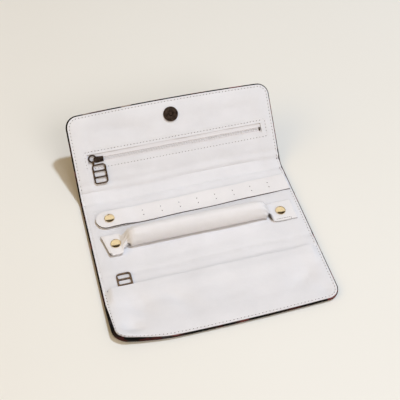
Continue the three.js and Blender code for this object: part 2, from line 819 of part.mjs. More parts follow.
function frontWall() {
  const far = middleFront - halfGap;
  const near = wallFront + halfGap;
  const chain = frontChain;
  const slotFar = chain + frontTapeWidth / 2 - toothRoot / 2;
  const teethFrom = frontCharmPlace - toothHead;
  const stopAt = stopPlace;
  const topStops = zipLeft + stopLength / 2;
  const lining = box(-innerHalf, innerHalf, slotFar, far, liningBottom, panelThickness);
  return group(
    named('front_wall_outer', runAlong(traySection(), near, far), outerCloth),
    named('front_wall_padding', box(-innerHalf, innerHalf, near, far, innerFloor, boardTop), paddingFoam),
    named('front_wall_lining', lining, liningCloth),
    named('pocket_lip', pocketLip(), liningCloth),
    named('front_zip_tape_far', zipHalf(chain, 1, frontTapeWidth, teethFrom), zipCloth),
    named('front_zip_tape_near', zipHalf(chain, -1, frontTapeWidth, teethFrom), zipCloth),
    named('front_zip_bottom_stop', zipStop(stopAt, chain - stopReach, chain + stopReach), zipMetal),
    named('front_zip_top_stop_far', zipStop(topStops, chain + toothRoot, chain + stopReach), zipMetal),
    named('front_zip_top_stop_near', zipStop(topStops, chain - stopReach, chain - toothRoot), zipMetal),
    named('front_zip_slider', zipSlider(frontCharmPlace, chain, 0, false), zipMetal),
    named('front_pull_charm', barCharm(chain), charmMetal),
  );
}

function frontPanel() {
  const near = halfGap - wallFront;
  const far = -frontEdge;
  const sink = snapDiameter + 4 * layerGap;
  const well = turned([[0, -overrun], [sink / 2, -overrun], [sink / 2, panelThickness], [0, panelThickness]],
    0, snapPlatePlace);
  const padding = endPanel(near, far, layerInset, -1);
  padding.holes.push(circlePath(0, snapPlatePlace, sink));
  const washerLow = plateSink + plateThickness + layerGap;
  const paddingHigh = washerLow + washerThickness + layerGap;
  const bagFar = far - flapBagEndInset;
  const bagHalf = innerHalf - flapBagEndInset;
  const bag = rectangle(-bagHalf, bagHalf, -bagFar, -near);
  const inside = endPanel(near, far, layerInset, -1);
  return group(
    named('front_outer', cut(endPanelTray(near, far, -1), well), outerCloth),
    named('front_padding', raise(padding, innerFloor, paddingHigh), paddingFoam),
    named('front_pocket_bag', raise(bag, paddingHigh + layerGap, paddingTop), bagCloth),
    named('front_lining', raise(inside, liningBottom, panelThickness), liningCloth),
    named('snap_plate', snapPlate(snapPlatePlace), magnetMetal),
    named('snap_plate_washer', washer(snapPlatePlace, washerLow, snapBoss / 2 + layerGap), zipMetal),
  );
}

function strip() {
  const surface = panelThickness + layerGap;
  const length = stripHinge - halfGap - stripLeft;
  const snap = stripSnapFromEnd - length - halfGap;
  const lift = surface + studLift;
  const capBase = lift + stripThickness + layerGap;
  const socketTop = lift - layerGap;
  const end = innerHalf - seamInset - stripHinge;
  const pieces = group(
    named('earring_strip', earringStrip().translate(-halfGap, 0, surface), liningCloth),
    named('strip_snap_cap', domeCap(snap, 0, capBase, socketTop), capMetal),
    named('strip_snap_socket', snapSocket(snap, 0, socketTop), capMetal),
    named('strip_snap_stud', snapStud(snap, 0, surface, socketTop - layerGap / 2), capMetal),
    named(
      'earring_strip_end',
      box(halfGap, end, -stripWidth / 2, stripWidth / 2, surface, surface + stripThickness),
      liningCloth,
    ),
  );
  pieces.position.set(stripHinge, stripPlace, 0);
  pieces.rotation.z = THREE.MathUtils.degToRad(stripSkew);
  return pieces;
}

function roll() {
  const surface = panelThickness + layerGap;
  const lift = surface + studLift;
  const socketTop = lift - layerGap;
  const halfTab = rollTabWidth / 2;
  const endTab = rectangle(rollHinge + halfGap, rollEndRight, rollPlace - halfTab, rollPlace + halfTab);
  endTab.holes.push(circlePath(rollCapPlace, rollPlace, shankDiameter + 2 * layerGap));
  const tabTop = surface + stripThickness;
  const capBase = lift + stripThickness + layerGap;
  return group(
    named('ring_roll_cover', rollCover(), liningCloth),
    named('ring_roll_filling', rollFilling(rollWall + layerGap), paddingFoam),
    named('roll_snap_cap', domeCap(rollSnapPlace, rollPlace, capBase, socketTop), capMetal),
    named('roll_snap_socket', snapSocket(rollSnapPlace, rollPlace, socketTop), capMetal),
    named('roll_snap_stud', snapStud(rollSnapPlace, rollPlace, surface, socketTop - layerGap / 2), capMetal),
    named('ring_roll_end', raise(endTab, surface, tabTop), liningCloth),
    named('roll_end_cap', domeCap(rollCapPlace, rollPlace, tabTop + layerGap, paddingTop), capMetal),
    named('roll_end_rivet', rivetBack(rollCapPlace, rollPlace), zipMetal),
  );
}

const backLow = group(...foldPanel('back_low', middleBack, 0));
const pouch = group(middlePanel(), backLow, flap(), frontWall(), frontPanel(), strip(), roll());
pouch.position.y = bendToOrigin;

export default pouch;
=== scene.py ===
# %% [markdown]
# A travel jewelry pouch lies open on a pale table. It is made of soft sheets: a printed outer cloth, a thin
# pad and a napped lining, with a stuffed ring roll, an earring strip, two zips and a magnetic snap on top.
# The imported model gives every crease, body and joint, so all the soft pieces here are laid over that frame.

import json
import math

import bmesh
import bpy
import numpy as np
from mathutils import Matrix, Vector, noise

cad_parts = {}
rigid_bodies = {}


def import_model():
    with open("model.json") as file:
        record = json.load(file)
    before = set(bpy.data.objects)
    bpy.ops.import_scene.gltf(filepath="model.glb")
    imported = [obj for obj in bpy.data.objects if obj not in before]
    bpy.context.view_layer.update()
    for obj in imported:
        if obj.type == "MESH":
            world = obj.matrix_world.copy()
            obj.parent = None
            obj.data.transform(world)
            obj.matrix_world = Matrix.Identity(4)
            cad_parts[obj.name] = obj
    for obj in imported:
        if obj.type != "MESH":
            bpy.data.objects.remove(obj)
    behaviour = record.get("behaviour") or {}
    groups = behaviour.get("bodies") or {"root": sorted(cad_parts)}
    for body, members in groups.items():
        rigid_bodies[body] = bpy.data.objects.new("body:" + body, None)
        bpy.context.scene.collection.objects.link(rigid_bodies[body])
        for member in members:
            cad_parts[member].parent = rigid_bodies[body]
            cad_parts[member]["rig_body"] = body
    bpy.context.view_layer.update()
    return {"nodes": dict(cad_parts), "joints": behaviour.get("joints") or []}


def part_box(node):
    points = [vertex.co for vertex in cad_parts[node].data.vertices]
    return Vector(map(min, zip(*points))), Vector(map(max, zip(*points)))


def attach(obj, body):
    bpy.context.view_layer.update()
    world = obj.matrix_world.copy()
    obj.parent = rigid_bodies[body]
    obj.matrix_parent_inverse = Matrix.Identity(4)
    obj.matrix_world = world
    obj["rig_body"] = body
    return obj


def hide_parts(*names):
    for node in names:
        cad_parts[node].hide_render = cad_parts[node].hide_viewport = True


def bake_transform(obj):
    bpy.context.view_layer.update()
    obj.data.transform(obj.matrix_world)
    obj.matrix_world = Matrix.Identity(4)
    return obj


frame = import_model()
MM = 0.001
joints = {joint["name"]: joint for joint in frame["joints"]}

# %% [markdown]
# The photograph looks down on the pouch from its front left, and the picture is nearly free of perspective.
# The camera's place was worked out from the corners of the panels, so it is given as one matrix.

# %% Camera
CAMERA_PLACE = Vector((-0.1212, -0.43606, 0.5657))
CAMERA_TURN = math.radians(-15.81)
CAMERA_TILT = math.radians(40.56)
CAMERA_ROLL = math.radians(0.65)
CAMERA_LENS = 71.56
SENSOR = 36

camera_data = bpy.data.cameras.new("camera")
camera_data.lens = CAMERA_LENS
camera_data.sensor_width = SENSOR
camera = bpy.data.objects.new("camera", camera_data)
bpy.context.scene.collection.objects.link(camera)
turn = Matrix.Rotation(CAMERA_TURN, 4, "Z") @ Matrix.Rotation(CAMERA_TILT, 4, "X")
camera.matrix_world = Matrix.Translation(CAMERA_PLACE) @ turn @ Matrix.Rotation(CAMERA_ROLL, 4, "Z")
bpy.context.scene.camera = camera
bpy.context.scene.view_settings.view_transform = "Standard"
print("camera at", tuple(CAMERA_PLACE))

# %% [markdown]
# A shader effect that several finishes share is built once as a node group. Here are the small helpers
# for that: one adds a node with its values, one joins two sockets, and one opens a new group with named
# sockets.

# %% Helpers for nodes
SOCKETS = {"float": "NodeSocketFloat", "color": "NodeSocketColor", "vector": "NodeSocketVector"}


def add(tree, kind, **values):
    node = tree.nodes.new(kind)
    for name, value in values.items():
        setattr(node, name, value)
    return node


def wire(tree, source, target):
    tree.links.new(source, target)


def new_group(name, inputs, outputs):
    tree = bpy.data.node_groups.new(name, "ShaderNodeTree")
    for label, kind, value in inputs:
        socket = tree.interface.new_socket(name=label, in_out="INPUT", socket_type=SOCKETS[kind])
        socket.default_value = value
    for label, kind in outputs:
        tree.interface.new_socket(name=label, in_out="OUTPUT", socket_type=SOCKETS[kind])
    return tree, tree.nodes.new("NodeGroupInput"), tree.nodes.new("NodeGroupOutput")


def noise_at(tree, place, scale, detail=3, rough=0.5):
    node = add(tree, "ShaderNodeTexNoise")
    node.inputs["Detail"].default_value = detail
    node.inputs["Roughness"].default_value = rough
    wire(tree, place, node.inputs["Vector"])
    if isinstance(scale, (int, float)):
        node.inputs["Scale"].default_value = scale
    else:
        wire(tree, scale, node.inputs["Scale"])
    return node.outputs["Fac"]


def sum_of(tree, first, second, operation="ADD", clamp=False):
    node = add(tree, "ShaderNodeMath", operation=operation, use_clamp=clamp)
    for socket, value in zip(node.inputs, (first, second)):
        if isinstance(value, (int, float)):
            socket.default_value = value
        else:
            wire(tree, value, socket)
    return node.outputs[0]


def spread(tree, value, low, high, to_low=0.0, to_high=1.0):
    node = add(tree, "ShaderNodeMapRange")
    wire(tree, value, node.inputs["Value"])
    for label, number in (("From Min", low), ("From Max", high), ("To Min", to_low), ("To Max", to_high)):
        node.inputs[label].default_value = number
    return node.outputs["Result"]


def blend_colour(tree, mask, first, second, mode="MIX"):
    node = add(tree, "ShaderNodeMix", data_type="RGBA", blend_type=mode)
    wire(tree, mask, node.inputs["Factor"])
    for socket, value in ((node.inputs[6], first), (node.inputs[7], second)):
        if isinstance(value, tuple):
            socket.default_value = (*value, 1)
        else:
            wire(tree, value, socket)
    return node.outputs[2]


# %% [markdown]
# The lining is a napped cloth, like fine artificial suede. Its fibres lie in soft patches, so its colour
# drifts a little and its light is soft at the edges. The group puts out a colour shift, a roughness and a
# height that mixes a fine pile with the drift.

# %% Nap, shared by all napped cloth
NOISE_MIDDLE = (0.3, 0.7)
PATCH_TONE = (0.93, 1.0)
PILE_TONE = (0.97, 1.01)
PATCH_HEIGHT = 0.6
NAP_ROUGHNESS = (0.86, 0.96)

nap_group, given, made = new_group(
    "nap",
    [("Colour", "color", (0.8, 0.8, 0.8, 1)), ("Pile", "float", 2400.0), ("Patches", "float", 32.0)],
    [("Colour", "color"), ("Height", "float"), ("Roughness", "float")],
)
where = add(nap_group, "ShaderNodeTexCoord").outputs["Object"]
patches = noise_at(nap_group, where, given.outputs["Patches"], detail=4, rough=0.6)
pile = noise_at(nap_group, where, given.outputs["Pile"], detail=2, rough=0.7)
shift = spread(nap_group, patches, *NOISE_MIDDLE, *PATCH_TONE)
fine = spread(nap_group, pile, *NOISE_MIDDLE, *PILE_TONE)
tone = sum_of(nap_group, shift, fine, "MULTIPLY")
scaled = add(nap_group, "ShaderNodeVectorMath", operation="SCALE")
wire(nap_group, given.outputs["Colour"], scaled.inputs[0])
wire(nap_group, tone, scaled.inputs["Scale"])
wire(nap_group, scaled.outputs[0], made.inputs["Colour"])
deep = sum_of(nap_group, pile, sum_of(nap_group, patches, PATCH_HEIGHT, "MULTIPLY"))
wire(nap_group, deep, made.inputs["Height"])
wire(nap_group, spread(nap_group, patches, *NOISE_MIDDLE, *NAP_ROUGHNESS), made.inputs["Roughness"])
print("nap group", len(nap_group.nodes), "nodes")

# %% [markdown]
# Woven cloth shows its threads: two rows of fine waves, one along and one across. The group crosses two
# sine waves, and puts out their height and a mask for the gaps between the threads. It reads the piece's
# own UV map, in metres along the cloth, so that the threads follow the cloth round each bend.

# %% Weave, shared by all woven cloth
GAP_FROM = 0.5

weave_group, given, made = new_group(
    "weave",
    [("Thread", "float", 0.0005)],
    [("Height", "float"), ("Gap", "float")],
)
where = add(weave_group, "ShaderNodeUVMap").outputs["UV"]
split = add(weave_group, "ShaderNodeSeparateXYZ")
wire(weave_group, where, split.inputs[0])
ridges = []
for side in ("X", "Y"):
    turns = sum_of(weave_group, split.outputs[side], given.outputs["Thread"], "DIVIDE")
    angle = sum_of(weave_group, turns, math.pi, "MULTIPLY")
    ridges.append(sum_of(weave_group, angle, 0.0, "SINE"))
height = sum_of(weave_group, sum_of(weave_group, *ridges, "MULTIPLY"), 0.0, "ABSOLUTE")
wire(weave_group, height, made.inputs["Height"])
wire(weave_group, spread(weave_group, height, 0.0, GAP_FROM, 1.0, 0.0), made.inputs["Gap"])
print("weave group", len(weave_group.nodes), "nodes")

# %% [markdown]
# Handled metal is never one shine: fine scratches and finger marks change its gloss, and its plating is
# darker in patches. This group makes a mask for the tarnish and a roughness with scratches drawn out
# along one side.

# %% Wear, shared by all metal
SCRATCH_STRETCH = (1.0, 6.0, 2.0)
STAIN_SCALE = 350.0
STAIN_SPAN = (0.35, 0.7)
SCRATCH_GLOSS = (-0.06, 0.12)

wear_group, given, made = new_group(
    "wear",
    [("Polish", "float", 0.25), ("Marks", "float", 600.0)],
    [("Tarnish", "float"), ("Roughness", "float"), ("Height", "float")],
)
where = add(wear_group, "ShaderNodeTexCoord").outputs["Object"]
stretch = add(wear_group, "ShaderNodeMapping")
stretch.inputs["Scale"].default_value = SCRATCH_STRETCH
wire(wear_group, where, stretch.inputs["Vector"])
scratches = noise_at(wear_group, stretch.outputs[0], given.outputs["Marks"], detail=4, rough=0.7)
stains = noise_at(wear_group, where, STAIN_SCALE, detail=3, rough=0.6)
wire(wear_group, spread(wear_group, stains, *STAIN_SPAN), made.inputs["Tarnish"])
marked = spread(wear_group, scratches, *NOISE_MIDDLE, *SCRATCH_GLOSS)
uneven = sum_of(wear_group, marked, given.outputs["Polish"])
wire(wear_group, uneven, made.inputs["Roughness"])
wire(wear_group, scratches, made.inputs["Height"])
print("shared groups", len(bpy.data.node_groups))

# %% [markdown]
# Each finish is a Principled shader with its own values, fed by the shared groups. Soft cloth has sheen.
# Gold and steel plating is full metal, and bronze is part metal, because a dull brown patina lies over
# it. What is the same all over a surface is set on the shader itself.

# %% Helpers for finishes
def placed(tree, group, **values):
    node = add(tree, "ShaderNodeGroup", node_tree=group)
    for label, value in values.items():
        node.inputs[label].default_value = value
    return node


def new_finish(name, rough=0.8, metallic=0.0, sheen=0.0):
    material = bpy.data.materials.new(name)
    material.use_nodes = True
    tree = material.node_tree
    shader = tree.nodes["Principled BSDF"]
    shader.inputs["Roughness"].default_value = rough
    shader.inputs["Metallic"].default_value = metallic
    shader.inputs["Sheen Weight"].default_value = sheen
    return material, tree, shader


def bumped(tree, shader, height, distance, strength=1.0):
    node = add(tree, "ShaderNodeBump")
    node.inputs["Distance"].default_value = distance
    node.inputs["Strength"].default_value = strength
    wire(tree, height, node.inputs["Height"])
    wire(tree, node.outputs["Normal"], shader.inputs["Normal"])


# %% [markdown]
# The lining, the strip and the roll are one cloth. Each finish takes the nap group with its own colour
# and pile, and the strip's finish also paints shade where a piece's attribute asks for it: dark shadow
# lines along edges and in deep folds.

# %% Napped lining, and the same cloth on the strip and roll
LINING_COLOUR = (0.80, 0.783, 0.79)
STRIP_COLOUR = (0.845, 0.815, 0.805)
# Painted shade: the colour of the dark shadow lines along edges and in deep folds
EDGE_SHADE_COLOUR = (0.045, 0.028, 0.022)
EDGE_SHADE_COVER = 0.9
NAP_SHEEN = 0.15
NAP_SHEEN_ROUGH = 0.5
NAP_SPECULAR = 0.2


def napped_cloth(name, colour, pile, depth, cut_edges=False):
    material, tree, shader = new_finish(name, sheen=NAP_SHEEN)
    shader.inputs["Sheen Roughness"].default_value = NAP_SHEEN_ROUGH
    shader.inputs["Specular IOR Level"].default_value = NAP_SPECULAR
    nap = placed(tree, nap_group, Colour=(*colour, 1), Pile=pile)
    if cut_edges:
        edge = add(tree, "ShaderNodeAttribute", attribute_name="cut_edge")
        mask = sum_of(tree, edge.outputs["Fac"], EDGE_SHADE_COVER, "MULTIPLY")
        tone = blend_colour(tree, mask, nap.outputs["Colour"], EDGE_SHADE_COLOUR)
        wire(tree, tone, shader.inputs["Base Color"])
    else:
        wire(tree, nap.outputs["Colour"], shader.inputs["Base Color"])
    wire(tree, nap.outputs["Roughness"], shader.inputs["Roughness"])
    bumped(tree, shader, nap.outputs["Height"], depth)
    return material


lining_finish = napped_cloth("napped_lining", LINING_COLOUR, pile=2400.0, depth=0.12 * MM)
strip_finish = napped_cloth("napped_strip", STRIP_COLOUR, pile=3000.0, depth=0.08 * MM, cut_edges=True)
print("napped finishes", lining_finish.name, strip_finish.name)

# %% [markdown]
# The outer cloth is printed. The photograph shows only its edge, so the print here is a plain scatter:
# blots of dark red, brown and grey on near black, with a few rose and cream flecks. Cells from a Voronoi
# texture give the blots their edges, and noise bends those edges so that no cell looks cut out.

# %% Printed outer cloth
PRINT_ROUGH = 0.85
PRINT_SPECULAR = 0.12
DRIFT_SCALE = 130.0
DRIFT_REACH = 8 * MM
BLOT_SCALE = 95.0
PRINT_THREAD = 0.6 * MM
PRINT_BUMP = 0.15 * MM
GAP_SHADE = 0.5
GAP_COLOUR = (0.006, 0.005, 0.005)
# Where each shade of the print starts on the scale of the cells' random values
PRINT_SHADES = [
    (0.0, (0.006, 0.0045, 0.004)),
    (0.45, (0.06, 0.014, 0.012)),
    (0.62, (0.020, 0.011, 0.008)),
    (0.78, (0.19, 0.06, 0.055)),
    (0.86, (0.035, 0.029, 0.031)),
    (0.95, (0.36, 0.28, 0.23)),
]


def printed_cloth():
    material, tree, shader = new_finish("printed_cloth", rough=PRINT_ROUGH)
    shader.inputs["Specular IOR Level"].default_value = PRINT_SPECULAR
    where = add(tree, "ShaderNodeTexCoord").outputs["Object"]
    drift = add(tree, "ShaderNodeTexNoise")
    drift.inputs["Scale"].default_value = DRIFT_SCALE
    wire(tree, where, drift.inputs["Vector"])
    bent = add(tree, "ShaderNodeVectorMath", operation="MULTIPLY_ADD")
    wire(tree, drift.outputs["Color"], bent.inputs[0])
    bent.inputs[1].default_value = (DRIFT_REACH,) * 3
    wire(tree, where, bent.inputs[2])
    blots = add(tree, "ShaderNodeTexVoronoi")
    blots.inputs["Scale"].default_value = BLOT_SCALE
    wire(tree, bent.outputs[0], blots.inputs["Vector"])
    choice = add(tree, "ShaderNodeSeparateColor")
    wire(tree, blots.outputs["Color"], choice.inputs[0])
    ramp = add(tree, "ShaderNodeValToRGB")
    ramp.color_ramp.interpolation = "CONSTANT"
    for start, colour in PRINT_SHADES:
        stop = ramp.color_ramp.elements[0] if start == 0 else ramp.color_ramp.elements.new(start)
        stop.color = (*colour, 1)
    ramp.color_ramp.elements.remove(ramp.color_ramp.elements[-1])
    wire(tree, choice.outputs[0], ramp.inputs["Fac"])
    cloth = placed(tree, weave_group, Thread=PRINT_THREAD)
    gap = sum_of(tree, cloth.outputs["Gap"], GAP_SHADE, "MULTIPLY")
    printed = blend_colour(tree, gap, ramp.outputs["Color"], GAP_COLOUR)
    wire(tree, printed, shader.inputs["Base Color"])
    bumped(tree, shader, cloth.outputs["Height"], PRINT_BUMP, 0.6)
    return material


outer_finish = printed_cloth()
print("printed finish", outer_finish.name)

# %% [markdown]
# The zip tape is a tight cloth a shade pinker than the lining. Its teeth are pale resin, and a thread
# sews them to the tape. The thread is made dark, partly its own colour and partly painted shade for the
# fine lines beside the teeth. The charms are antique bronze.
# The sliders, the snap's two discs and the flap zip's bottom stop are a darker bronze, and the snap caps
# are pale gold.

# %% Tape, thread and metals
TAPE_ROUGH = 0.8
TAPE_SHEEN = 0.1
TAPE_GAP_SHADE = 0.2
GAP_DARKER = 0.6
TAPE_BUMP = 0.1 * MM
METAL_BUMP = 0.02 * MM


def woven(name, colour, thread):
    material, tree, shader = new_finish(name, rough=TAPE_ROUGH, sheen=TAPE_SHEEN)
    cloth = placed(tree, weave_group, Thread=thread)
    gap = sum_of(tree, cloth.outputs["Gap"], TAPE_GAP_SHADE, "MULTIPLY")
    shade = tuple(part * GAP_DARKER for part in colour)
    wire(tree, blend_colour(tree, gap, colour, shade), shader.inputs["Base Color"])
    bumped(tree, shader, cloth.outputs["Height"], TAPE_BUMP, 0.7)
    return material


def plated(name, bright, dark, polish, tarnish_share=1.0, metallic=1.0):
    material, tree, shader = new_finish(name, metallic=metallic)
    wear = placed(tree, wear_group, Polish=polish)
    mask = sum_of(tree, wear.outputs["Tarnish"], tarnish_share, "MULTIPLY")
    wire(tree, blend_colour(tree, mask, bright, dark), shader.inputs["Base Color"])
    wire(tree, wear.outputs["Roughness"], shader.inputs["Roughness"])
    bumped(tree, shader, wear.outputs["Height"], METAL_BUMP, 0.5)
    return material


TEETH_COLOUR = (0.80, 0.78, 0.775, 1)
tape_finish = woven("zip_tape_cloth", colour=(0.80, 0.77, 0.77), thread=0.5 * MM)
thread_finish = woven("sewing_thread", colour=(0.74, 0.70, 0.68), thread=0.2 * MM)
# The needle holes are dark discs: painted shade for the pits that the needle leaves
hole_shade_finish = woven("needle_hole", colour=(0.2, 0.16, 0.15), thread=0.3 * MM)
binding_and_shade_finish = woven("zip_binding_thread", colour=(0.5, 0.43, 0.42), thread=0.2 * MM)
seam_line_finish = woven("dark_sewing_thread", colour=(0.16, 0.11, 0.10), thread=0.2 * MM)
teeth_finish, tree, shader = new_finish("zip_teeth_resin", rough=0.45)
shader.inputs["Base Color"].default_value = TEETH_COLOUR
bronze_finish = plated(
    "antique_bronze", bright=(0.19, 0.12, 0.075), dark=(0.05, 0.033, 0.022), polish=0.27, metallic=0.5
)
dark_finish = plated(
    "dark_bronze", bright=(0.14, 0.095, 0.07), dark=(0.03, 0.02, 0.015), polish=0.3, metallic=0.65
)
gold_finish = plated(
    "pale_gold", bright=(0.90, 0.74, 0.48), dark=(0.78, 0.60, 0.36), polish=0.14, tarnish_share=0.5
)
steel_finish = plated("plain_plate", bright=(0.45, 0.42, 0.38), dark=(0.25, 0.23, 0.21), polish=0.4)
print("finishes", len(bpy.data.materials))

# %% [markdown]
# The panels are one long soft strip, so one map lays everything: a point is given by its place across, its
# distance along the lining from the bend, and its height over the lining. The map is flat up to the bend,
# turns smoothly over a few millimetres, and runs on up the flap. Both straight stretches match the frame.
# At the front left corner the cloth lifts off the table, curls, and is pulled a little towards the middle.

# %% Map from the flat pouch to its place
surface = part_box("middle_lining")[1].z
bend_line = joints["bend_crease"]["pos_m"][1]
half_width = (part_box("middle_outer")[1].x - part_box("middle_outer")[0].x) / 2
flap_hinge = Vector(joints["flap_crease"]["pos_m"])
rise = math.atan2(flap_hinge.z - surface, flap_hinge.y - bend_line)
leg_high = math.hypot(flap_hinge.z - surface, flap_hinge.y - bend_line)
crease_back = joints["back_crease"]["pos_m"][1] - bend_line
crease_middle = joints["front_wall_crease"]["pos_m"][1] - bend_line
crease_front = joints["front_panel_crease"]["pos_m"][1] - bend_line
front_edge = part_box("front_outer")[0].y - bend_line
end_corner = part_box("flap_outer")[1]
flap_edge = ((end_corner.y - bend_line) + (end_corner.z - surface) * math.tan(rise)) * math.cos(rise)
BEND_REACH = 6 * MM
STEPS = 64
LIFT_CORNER = 3 * MM
LIFT_REACH_X = 75 * MM
LIFT_REACH_Y = 62 * MM
LIFT_POWER = 1.6
CURL = 2.4 * MM
CURL_REACH = 34 * MM
PULL = 5.6 * MM
PULL_REACH = 50 * MM
PULL_POWER = 1.5
PULL_ASIDE = 0.25
FOOT_STAYS = 0.6


def eased(share):
    return share**2 * (3 - 2 * share)


def fade(value, low, high):
    return eased(np.clip((value - low) / (high - low), 0, 1))


def bend_table():
    """Places (y, z) at even steps through the bend, scaled so that its ends meet both legs."""
    share = (np.arange(STEPS) + 0.5) / STEPS
    angle = rise * eased(share)
    step = 2 * BEND_REACH / STEPS
    scale = 2 * BEND_REACH * math.cos(rise / 2) / (np.cos(angle - rise / 2).sum() * step)
    y = np.concatenate([[0], np.cumsum(np.cos(angle))]) * step * scale - BEND_REACH
    z = np.concatenate([[0], np.cumsum(np.sin(angle))]) * step * scale
    return y, z


BEND_Y, BEND_Z = bend_table()


def near_corner(x, along, reach):
    """1 at the front left corner, falling evenly to 0 at a given distance."""
    return np.clip(1 - np.hypot(x + half_width, along - front_edge) / reach, 0, 1)


def corner_lift(x, along):
    """How high the front left corner stands off the table."""
    across = np.clip((-half_width + LIFT_REACH_X - x) / LIFT_REACH_X, 0, 1)
    down = np.clip((front_edge + LIFT_REACH_Y - along) / LIFT_REACH_Y, 0, 1)
    return LIFT_CORNER * (across * down) ** LIFT_POWER + CURL * near_corner(x, along, CURL_REACH) ** 2


def place(x, along, up):
    """The points of the open pouch for arrays of places on the flat one."""
    x, along, up = np.broadcast_arrays(*(np.asarray(v, float) for v in (x, along, up)))
    share = np.clip((along + BEND_REACH) / (2 * BEND_REACH), 0, 1)
    angle = rise * eased(share)
    y = np.interp(share * STEPS, np.arange(STEPS + 1), BEND_Y)
    z = np.interp(share * STEPS, np.arange(STEPS + 1), BEND_Z)
    past = along - np.clip(along, -BEND_REACH, BEND_REACH)
    y = y + past * np.cos(angle) - up * np.sin(angle)
    z = z + past * np.sin(angle) + up * np.cos(angle)
    pull = PULL * near_corner(x, along, PULL_REACH) ** PULL_POWER
    lift = corner_lift(x, along) * (1 - FOOT_STAYS * np.clip(-up / surface, 0, 1))
    return np.stack([x + PULL_ASIDE * pull, y + bend_line + pull, z + surface + lift], -1)


print("flap edge", round(flap_edge / MM, 2), "front edge", round(front_edge / MM, 2))

# %% [markdown]
# Soft cloth is never flat. Its height over the ideal panel is one function of the place on the flat
# pouch, used by the lining, the stitches and everything that lies on it: the edge rolls down to the seam,
# the seam pulls a groove, the pad swells between the seams, and shallow dimples and ripples lie where the
# photograph has them.

# %% Height of the lining
CORNER_RADIUS = 11 * MM
EDGE_BOW = 1.5 * MM
SEAM_INSET = 2.6 * MM
SEAM_DEPTH = 0.22 * MM
SEAM_REACH = 0.7 * MM
EDGE_ROLL = 1.7 * MM
EDGE_DROP = 1.3 * MM
PAD_SWELL = 0.45 * MM
SWELL_REACH = 16 * MM
RIPPLE = 0.5 * MM
CALM_REACH = 12 * MM
LEAST_RIPPLE = 0.15
LOWEST = -2.6 * MM
CHAIN = 36 * MM
ZIP_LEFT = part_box("flap_zip_tape_far")[0].x
ZIP_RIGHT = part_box("flap_zip_tape_far")[1].x
SEAM_LOW, SEAM_HIGH = 28 * MM, 44 * MM
SEAM_LEFT, SEAM_RIGHT = -86 * MM, 89 * MM
ZIP_SEAM_DEPTH = 0.3 * MM
ZIP_SEAM_REACH = 0.8 * MM
ZIP_SINK = 0.12 * MM
ZIP_SINK_INSET = 3 * MM
ZIP_SINK_REACH = 2 * MM
# Ripples: length, seed of the noise and share of the height
RIPPLES = [(27 * MM, 3.1, 1.0), (11 * MM, 7.7, 0.5)]
# Dimples: place across, place along, reach across, reach along, depth, all in millimetres, and turn in
# degrees
DIMPLES = [
    (-70, -122, 11, 17, 1.0, 20),
    (-37, -125, 15, 7, 0.55, -35),
    (72, -133, 13, 7, 0.6, 25),
    (87, -152, 8, 10, 0.5, -20),
    (-80, -146, 10, 12, 0.85, 40),
    (10, -132, 30, 6, 0.25, 8),
    (46, -98, 22, 4, 0.25, 4),
    (30, 17, 34, 5, 0.3, 3),
    (-40, 20, 26, 5, 0.25, -5),
    (52, 58, 20, 7, 0.3, 12),
    (-48, 60, 24, 6, 0.3, -8),
    (-60, -8, 18, 3, 0.25, 0),
    (-20, -79, 30, 4, 0.3, 3),
]
DIMPLE_SCALE = 3.4
# Creases that run across: place along, reach and depth, in millimetres
SOFT_CREASES = [(-5, 1.6, 1.0), (5.5, 1.8, 1.4), (-88.9, 2.0, 0.7), (13, 2.4, 0.8), (-14.8, 2.2, 0.4)]
CREASE_SWAY = 0.8 * MM
CREASE_LENGTH = 23 * MM


def bump(value, reach):
    """1 at zero, falling softly to nothing a little past a given reach."""
    return np.exp(-((value / reach) ** 2))


def edge_distance(x, along):
    """How far a place lies inside the outline of the open pouch."""
    flat = half_width - CORNER_RADIUS
    nearest = half_width - np.abs(x)
    for far in (flap_edge, front_edge):
        out = np.sign(far) * along
        straight = abs(far) - EDGE_BOW * np.clip(np.abs(x) / flat, 0, 1) ** 2
        over_x = np.clip(np.abs(x) - flat, 0, None)
        over_y = np.clip(out - (abs(far) - EDGE_BOW - CORNER_RADIUS), 0, None)
        corner = CORNER_RADIUS - np.hypot(over_x, over_y)
        in_corner = (over_x > 0) & (over_y > 0)
        nearest = np.where(in_corner, np.minimum(nearest, corner), np.minimum(nearest, straight - out))
    return nearest


def ripple(x, along, size, seed):
    flat = np.stack([x.ravel() / size, along.ravel() / size], -1)
    values = [noise.noise(Vector((px, py, seed))) for px, py in flat]
    return np.array(values).reshape(x.shape)


def seam_box_distance(x, along):
    """Signed distance to the stitched rectangle round the flap's zip."""
    mid_x, mid_y = (SEAM_LEFT + SEAM_RIGHT) / 2, (SEAM_LOW + SEAM_HIGH) / 2
    dx = np.abs(x - mid_x) - (SEAM_RIGHT - SEAM_LEFT) / 2
    dy = np.abs(along - mid_y) - (SEAM_HIGH - SEAM_LOW) / 2
    return np.hypot(np.clip(dx, 0, None), np.clip(dy, 0, None)) + np.minimum(np.maximum(dx, dy), 0)


